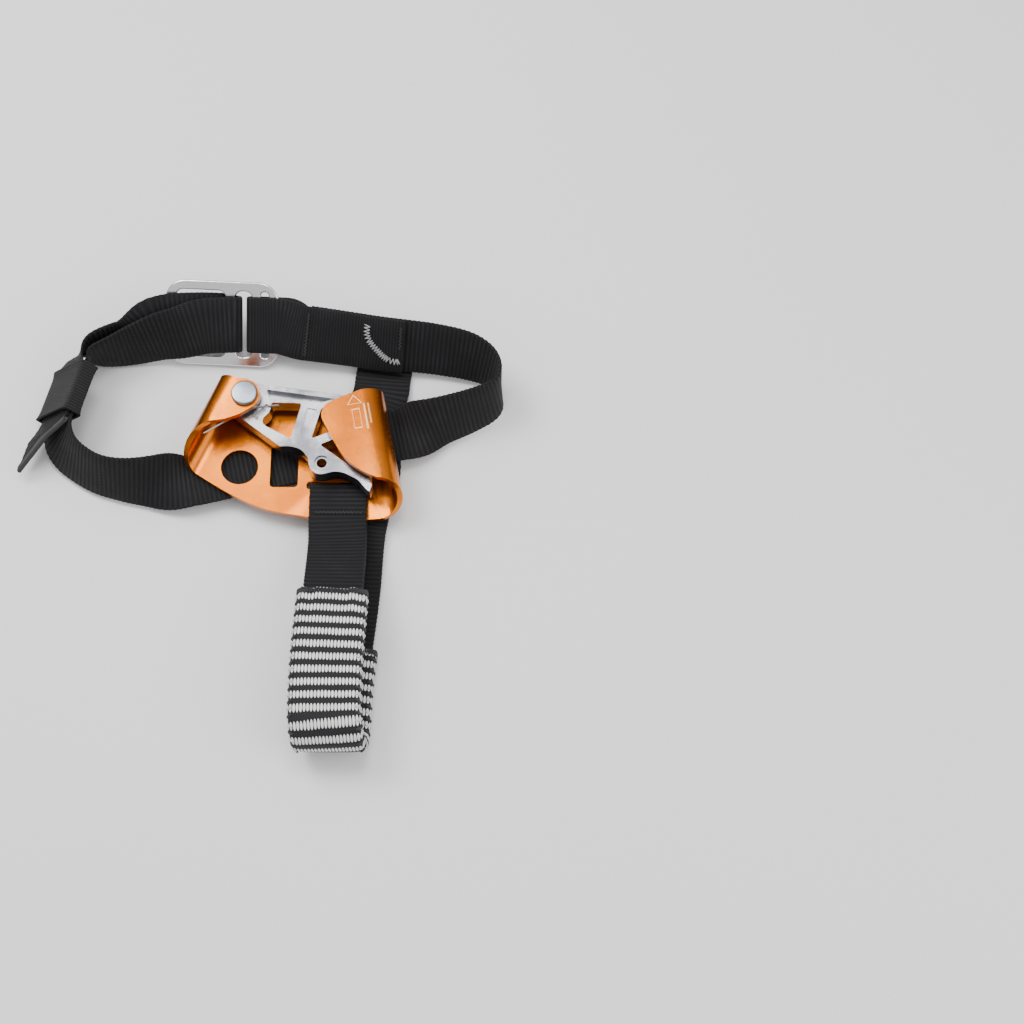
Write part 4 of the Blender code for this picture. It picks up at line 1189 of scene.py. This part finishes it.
def buckle_strap_rows() -> list[Row]:
    """Lays the loop round the buckle's right bar; its front layer runs on over the junction.

    Returns:
        The rows.
    """
    top = BAR_TOP + GAP + WEB / 2
    front = [(*row[:6], -row[6]) for row in reversed(FRONT_PLY)]
    middle = [buckle_row(27, top + 0.6), buckle_row(20, top)]
    wrap = wrap_rows(MIDDLE_SLOT[1] + 0.5, top, BAR_BACK_LAYER, -1)
    back = [buckle_row(20, BAR_BACK_LAYER), buckle_row(26.5, BAR_BACK_LAYER),
            buckle_row(31.5, BAR_BACK_LAYER * 0.72)]
    end = [lifted(JUNCTION_ROW, 0)]
    return with_lift(front + middle + wrap + back + end)


# Middle of the stirrup strap, in mm: behind the junction, under the ankle strap, down to the bend
REAR_TOP = [
    (43.3, 59.2, 16.2), (42.6, 52.7, 8.6), (42.1, 48.3, 3.4), (41.9, 46.5, 1.6), (41.6, 44.0, 0.95),
    (41.0, 40, 0.95),
]
REAR_LEG = [
    (32.2, -34, 2.4), (30.6, -60, 1.6), (29.4, -76, 2.6), (28.2, -88, 3.4), (27.2, -98, 3.7),
    (26.4, -109, 3.9),
]
STIRRUP_BEND_MIDDLE = (24.6, -124.9, 14.7)
STIRRUP_BEND_RADIUS = 10.8
STIRRUP_BEND_SKEW = 1.3
FRONT_LEG = [
    (23.2, -108, 25.6), (23.6, -94, 25.2), (24.2, -79, 23.4), (24.6, -64, 19.8), (24.7, -52, 15.0),
    (24.5, -43, 11.0),
]
REAR_ACROSS = (0.985, -0.17, 0.0)


def crossing_rows() -> list[Row]:
    """Lays the rear leg where it is sewn to the ankle strap, one layer behind it.

    Returns:
        The rows.
    """
    under = -(SHEET + 2 * GAP + WEB / 2 + LAYER)
    rows = []
    for x, y, slack in ((39.3, 13.5, 1.7), (38.2, 6, 0.6), (36.6, -5, 0), (35.2, -16, 0.3)):
        rows.append((*on_plate(x, y, under - slack), *LX, 0))
    return rows


def stirrup_rows() -> list[Row]:
    """Lays the rear leg, the bend under the boot and the front leg.

    Returns:
        The rows.
    """
    rows = [(*p, *REAR_ACROSS, 0) for p in REAR_TOP]
    rows += [(40.0, 31, 2.0, *REAR_ACROSS, 0)] + crossing_rows()
    rows += [(*p, 1, 0, 0, 0) for p in REAR_LEG]
    cx, cy, cz = STIRRUP_BEND_MIDDLE
    for i in range(9):
        angle = math.radians(-90 - 180 * i / 8)
        shift = STIRRUP_BEND_SKEW - 2 * STIRRUP_BEND_SKEW * i / 8
        rows.append((cx + shift, cy + STIRRUP_BEND_RADIUS * math.cos(angle),
                     cz + STIRRUP_BEND_RADIUS * math.sin(angle), 1, 0, 0, 0))
    rows += [(*p, 1, 0, 0, 0) for p in FRONT_LEG]
    return rows


WRAP_SETBACK = 0.75
WEB_SLOT_HEIGHT = 3.6


def plate_bar_rows() -> list[Row]:
    """Lays the stretch in the plate's seat, through the webbing slot and back behind the bar below it.

    Returns:
        The rows.
    """
    lift = GAP + WEB / 2
    front, back = lift, -(SEAT_DEPTH + SHEET) - lift
    down = Vector((-math.sin(ROLL), -math.cos(ROLL)))
    slot = Vector((20.4, -21.2))
    across = (LX * math.cos(ROLL) - LY * math.sin(ROLL)).normalized()

    def row(distance: float, height: float) -> Row:
        """Row at a distance down the plate from the slot."""
        place = slot + down * distance
        return (*on_plate(place.x, place.y, height), *across, 0)

    radius = (front - back) / 2
    bar_top = WEB_SLOT_HEIGHT / 2
    rows = [row(17.2, front + 0.1), row(13, front), row(8.5, front), row(4.5, front)]
    for i in range(7):
        angle = math.radians(90 - 180 * i / 6)
        height = (front + back) / 2 + radius * math.sin(angle)
        rows.append(row(bar_top + WRAP_SETBACK - math.cos(angle) * radius, height))
    rows += [row(6, back), row(11, back), row(16, back), row(19.5, back)]
    return rows


def stirrup_strap_rows() -> list[Row]:
    """The whole stirrup strap, with the ply that comes back from the plate."""
    ply = [(*p, 1, 0, 0, -LAYER) for p in reversed(FRONT_LEG[1:5])]
    return with_lift(stirrup_rows() + plate_bar_rows() + ply)


@dataclass
class Webbing:
    """The three black straps and the bound tail end."""

    ankle: BandShape = field(default_factory=lambda: BandShape(BAND_WIDTH, WEB, Weave.RIBBED, TAIL_SLANT))
    short: BandShape = field(default_factory=lambda: BandShape(BAND_WIDTH, WEB, Weave.FLAT))
    stirrup: BandShape = field(default_factory=lambda: BandShape(BAND_WIDTH, WEB, Weave.RIBBED))

    def build(self, sewing: StitchTree) -> None:
        """Weaves the straps.

        Args:
            sewing: the tree that makes stitches.
        """
        ribbed = Woven("ribbed_webbing", Weave.RIBBED).material()
        flat = Woven("flat_webbing", Weave.FLAT).material()
        yarn = Yarn("dark_binding", (0.035, 0.035, 0.037)).material()
        route = Strip(ankle_route() + tail_rows())
        for node, shape, strip, finish in (
                ("ankle_strap", self.ankle, route, ribbed),
                ("buckle_strap", self.short, Strip(buckle_strap_rows(), 5), flat),
                ("stirrup_strap", self.stirrup, Strip(stirrup_strap_rows()), ribbed)):
            ride(new_piece(node + "_webbing", shape.mesh(strip), finish), "clamp", "black_webbing", node)
        self.bind_tail(route, sewing, yarn)

    def bind_tail(self, route: Strip, sewing: StitchTree, yarn: bpy.types.Material) -> None:
        """Sews close loops over the slanted end of the tail.

        Args:
            route: the ankle strap's route.
            sewing: the tree that makes stitches.
            yarn: the thread's material.
        """
        edges, core = [], []
        for i in range(53):
            sideways = (i / 52 - 0.5) * 24.6
            edge = route.length - sideways * TAIL_SLANT * MM + 0.9 * MM
            near = route.at(edge).point(sideways * MM, 0.95 * MM)
            far = route.at(edge + 3.0 * MM).point((sideways + 0.5) * MM, 0.75 * MM)
            under_near = route.at(edge).point(sideways * MM, -0.95 * MM)
            under_far = route.at(edge + 3.0 * MM).point((sideways + 0.5) * MM, -0.75 * MM)
            edges += [(near, far), (far, under_far), (under_far, under_near)]
            core.append(route.at(edge + 1.5 * MM).point(sideways * MM, 0))
        edges += list(zip(core, core[1:]))
        ride(sewing.sew("tail_binding", edges, 0.34, yarn), "clamp", "black_webbing")
        bar = bmesh.new()
        rings = []
        for i in range(25):
            sideways = (i / 24 - 0.5) * 24.8
            edge = route.length - sideways * TAIL_SLANT * MM + 1.2 * MM
            ring = []
            for k in range(8):
                angle = TURN * k / 8
                ring.append(bar.verts.new(route.at(edge + (1.45 + 1.35 * math.cos(angle)) * MM).point(
                    sideways * MM, 0.85 * math.sin(angle) * MM)))
            rings.append(ring)
        skin(bar, rings)
        ride(new_piece("tail_fold", bar, yarn), "clamp", "black_webbing", "tail_hem")


@dataclass
class FootSleeve:
    """Striped elastic tube on the doubled strap under the boot, with its overlocked edges."""

    front: float = 69.0
    rear: float = 50.0
    tube: TubeShape = field(default_factory=lambda: TubeShape(29.0, 6.7, 0.95, 0.035, 0.7))

    def build(self, sewing: StitchTree) -> None:
        """Builds the tube and its stitches.

        Args:
            sewing: the tree that makes stitches.
        """
        route = Strip([(*row[:6], LAYER / 2) for row in stirrup_rows()])
        bend = route.nearest(lambda middle: middle.y)
        start, end = bend - self.rear * MM, bend + self.front * MM
        elastic = Striped("striped_elastic").material()
        ride(new_piece("foot_sleeve", self.tube.mesh(route, start, end), elastic), "clamp", "sleeve_elastic",
             "stirrup_sleeve")
        white = Yarn("white_yarn", WHITE_YARN).material()
        black = Yarn("black_yarn", (0.02, 0.02, 0.022)).material()
        half, top = self.tube.width / 2, self.tube.height / 2
        for finish, shift, name in ((white, 0.5, "sleeve_edge_white"), (black, 0.0, "sleeve_edge_black")):
            edges = []
            distance = (math.ceil((start / MM + 2) / STRIPE_PITCH) + shift) * STRIPE_PITCH * MM
            while distance < end - 3 * MM:
                near, far = route.at(distance), route.at(distance + 0.3 * MM)
                for sign in (-1, 1):
                    face, rim = sign * (half - 1.7) * MM, sign * (half + 0.1) * MM
                    high, low = (top + 0.12) * MM, top * 0.45 * MM
                    edges.append((near.point(face, high), far.point(rim, low)))
                    edges.append((far.point(rim, low), near.point(rim, -low)))
                    edges.append((near.point(rim, -low), far.point(face, -high)))
                distance += STRIPE_PITCH * MM
            ride(sewing.sew(name, edges, 0.62, finish), "clamp", "sleeve_elastic")
        for name, place, node, facing in (("sleeve_end_rear", start, "sleeve_hem_rear", 1),
                                          ("sleeve_end_front", end, "sleeve_hem_front", -1)):
            edges = []
            outline = self.tube.outline(-0.15, 84)
            for i, (sideways, lift) in enumerate(outline):
                a = route.at(place + facing * 0.2 * MM).point(sideways * MM, lift * MM)
                b = route.at(place + facing * (2.2 + 0.5 * (i % 2)) * MM).point(sideways * MM, lift * MM)
                c = route.at(place + facing * 0.2 * MM).point(sideways * 0.9 * MM, lift * 0.72 * MM)
                edges += [(a, b), (a, c)]
            ride(sewing.sew(name, edges, 0.3, black), "clamp", "black_thread", node)


@dataclass
class StrapKeeper:
    """Elastic loop that slides on the ankle strap."""

    length: float = 24.0
    play: float = 0.7
    wall: float = 1.2

    def build(self, sewing: StitchTree) -> None:
        """Builds the loop and its seam.

        Args:
            sewing: the tree that makes stitches.
        """
        inner = 2 * WEB + GAP + 2 * self.play
        width = WEB_WIDTH + 2 * self.play + 2 * self.wall
        along = (KEEPER_END - KEEPER_START).normalized()
        middle = (KEEPER_START + KEEPER_END) / 2
        route = Strip([(*(middle + along * self.length * t), *KEEPER_ACROSS, -LAYER / 2)
                       for t in (-0.5, -0.2, 0.2, 0.5)])
        tube = TubeShape(width, inner + 2 * self.wall, self.wall - 0.25, 0.02, roundness=0.2, flare=0.8)
        fabric = Woven("ribbed_elastic", Weave.FLAT, (0.008, 0.008, 0.009), (0.035, 0.035, 0.037)).material()
        made = new_piece("keeper_loop", tube.mesh(route, 0, route.length, 0.4), fabric)
        ride(made, "keeper", "keeper_elastic", "strap_keeper")
        path = [(route.length * t, 0.0) for t in (0.08, 0.92)]
        top = inner / 2 + self.wall + 0.3
        thread = Yarn("keeper_thread", (0.03, 0.03, 0.032)).material()
        edges = zigzag(route, path, 2.4, top, 0.8)
        ride(sewing.sew("keeper_seam_stitches", edges, THREAD_RADIUS, thread), "keeper", "black_thread",
             "keeper_seam")


# The arc of the bar tack, in mm: route x and place across the band
ARC_MARKS = [(33.5, 8.7), (33.9, 4.8), (36.2, 1.3), (39.8, -3), (44.2, -6.2), (47.2, -7), (49.6, -6.5)]


@dataclass
class Sewing:
    """Bar tack and thread rows at the junction and at the plate."""

    lift: float = WEB / 2 + 0.38

    def build(self, sewing: StitchTree) -> None:
        """Sews every row.

        Args:
            sewing: the tree that makes stitches.
        """
        ply = Strip(FRONT_PLY, 8)
        grey = Yarn("grey_thread", (0.42, 0.42, 0.43)).material()
        dark = Yarn("dark_thread", (0.022, 0.022, 0.024)).material()

        def place(x: float) -> float:
            """Distance along the ply at a route x, in mm."""
            return ply.nearest(lambda middle: abs(middle.x - x * MM))

        line = smooth_through([Vector((place(x), v * MM, 0)) for x, v in ARC_MARKS], 5)
        arc = [(p.x, p.y) for p in line]
        edges = zigzag(ply, arc, 2.9, self.lift, 0.62)
        ride(sewing.sew("junction_arc", edges, THREAD_RADIUS, grey), "clamp", "grey_thread",
             "junction_bar_tack")
        for name, x, low, high, node in (("junction_row_left", 8, -10.2, 10.2, "junction_stitch_left"),
                                         ("junction_row_right", 48.6, -1, 10.2, "junction_stitch_right")):
            path = [(place(x), low * MM), (place(x), high * MM)]
            edges = zigzag(ply, path, 1.3, self.lift, 0.8)
            ride(sewing.sew(name, edges, THREAD_RADIUS, dark), "clamp", "black_thread", node)
        rear = Strip([(*row[:6], 0) for row in reversed(crossing_rows())])
        edges = []
        for k in range(5):
            along = rear.length * 0.5 + (k - 2) * 2.6 * MM
            edges += zigzag(rear, [(along, -9 * MM), (along, 9 * MM)], 1.2, self.lift, 0.8)
        ride(sewing.sew("rear_tack", edges, THREAD_RADIUS, dark), "clamp", "black_thread", "plate_bar_tack")
        bar = Strip([(*row[:3], *(-Vector(row[3:6])), 0) for row in plate_bar_rows()[:4]])
        path = [(bar.length * 0.28, -10.5 * MM), (bar.length * 0.28, 10.5 * MM)]
        edges = zigzag(bar, path, 1.3, self.lift, 0.8)
        ride(sewing.sew("front_leg_row", edges, THREAD_RADIUS, dark), "clamp", "black_thread",
             "front_leg_stitch")


# ---------------------------------------------------------------- surroundings
LIGHTS = [
    ("key_light", (-0.45, 0.35, 0.85), 0.5, 7.5),
    ("fill_light", (0.7, -0.3, 0.6), 0.6, 3.5),
    ("top_light", (0.1, 0.2, 1.1), 0.35, 4.0),
]
SKY = [(0.05, (0.10, 0.10, 0.11, 1)), (0.85, (1.0, 1.0, 1.0, 1))]


@dataclass
class Studio:
    """Pale board, soft lights and the camera."""

    elevation: float = 65.0
    lens: float = 68.73
    camera_at: tuple[float, float, float] = (98.696, -383.656, 768.969)
    board: float = 25.0
    board_drop: float = 0.0002
    sky: float = 1.1

    def panel(self, name: str, where: Vector, size: float, power: float) -> None:
        """Adds a square soft light that faces the part.

        Args:
            name: its name.
            where: its place, in metres.
            size: its side, in metres.
            power: its power, in watts.
        """
        light = bpy.data.lights.new(name, "AREA")
        light.size = size
        light.energy = power
        made = bpy.data.objects.new(name, light)
        made.location = where
        made.rotation_euler = (Vector((0, 0, 0.01)) - where).to_track_quat("-Z", "Y").to_euler()
        bpy.context.scene.collection.objects.link(made)

    def build(self) -> None:
        """Sets the board, the lights, the sky and the camera."""
        board = bmesh.new()
        bmesh.ops.create_grid(board, x_segments=1, y_segments=1, size=self.board)
        floor = new_piece("board", board, Table("pale_board").material(), False)
        low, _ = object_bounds()
        floor.data.transform(Matrix.Translation((0, 0, min(0.0, low.z) - self.board_drop)))
        floor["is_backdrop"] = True
        world = bpy.data.worlds.new("room")
        bpy.context.scene.world = world
        world.use_nodes = True
        tree = world.node_tree
        sky = tree.nodes["Background"]
        where = tree.nodes.new("ShaderNodeTexCoord")
        height = tree.nodes.new("ShaderNodeSeparateXYZ")
        ramp = tree.nodes.new("ShaderNodeValToRGB")
        tree.links.new(where.outputs["Generated"], height.inputs[0])
        tree.links.new(height.outputs["Z"], ramp.inputs["Fac"])
        tree.links.new(ramp.outputs["Color"], sky.inputs["Color"])
        for stop, (place, colour) in zip(ramp.color_ramp.elements, SKY):
            stop.position, stop.color = place, colour
        sky.inputs["Strength"].default_value = self.sky
        for name, place, size, power in LIGHTS:
            self.panel(name, Vector(place), size, power)
        camera = bpy.data.cameras.new("camera")
        camera.lens = self.lens
        camera.sensor_width = 36
        camera.clip_start = 0.01
        made = bpy.data.objects.new("camera", camera)
        made.location = ORIGIN + Vector(self.camera_at) * MM
        made.rotation_euler = (math.radians(90 - self.elevation), 0, 0)
        bpy.context.scene.collection.objects.link(made)
        bpy.context.scene.camera = made


def main() -> None:
    """Builds and dresses the whole ascender in order."""
    logging.basicConfig(level=logging.INFO, format="%(name)s: %(message)s")
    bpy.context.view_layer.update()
    Studio().build()
    sewing = StitchTree()
    Clamp().build()
    Webbing().build(sewing)
    FootSleeve().build(sewing)
    StrapKeeper().build(sewing)
    Sewing().build(sewing)


if __name__ == "__main__":
    main()
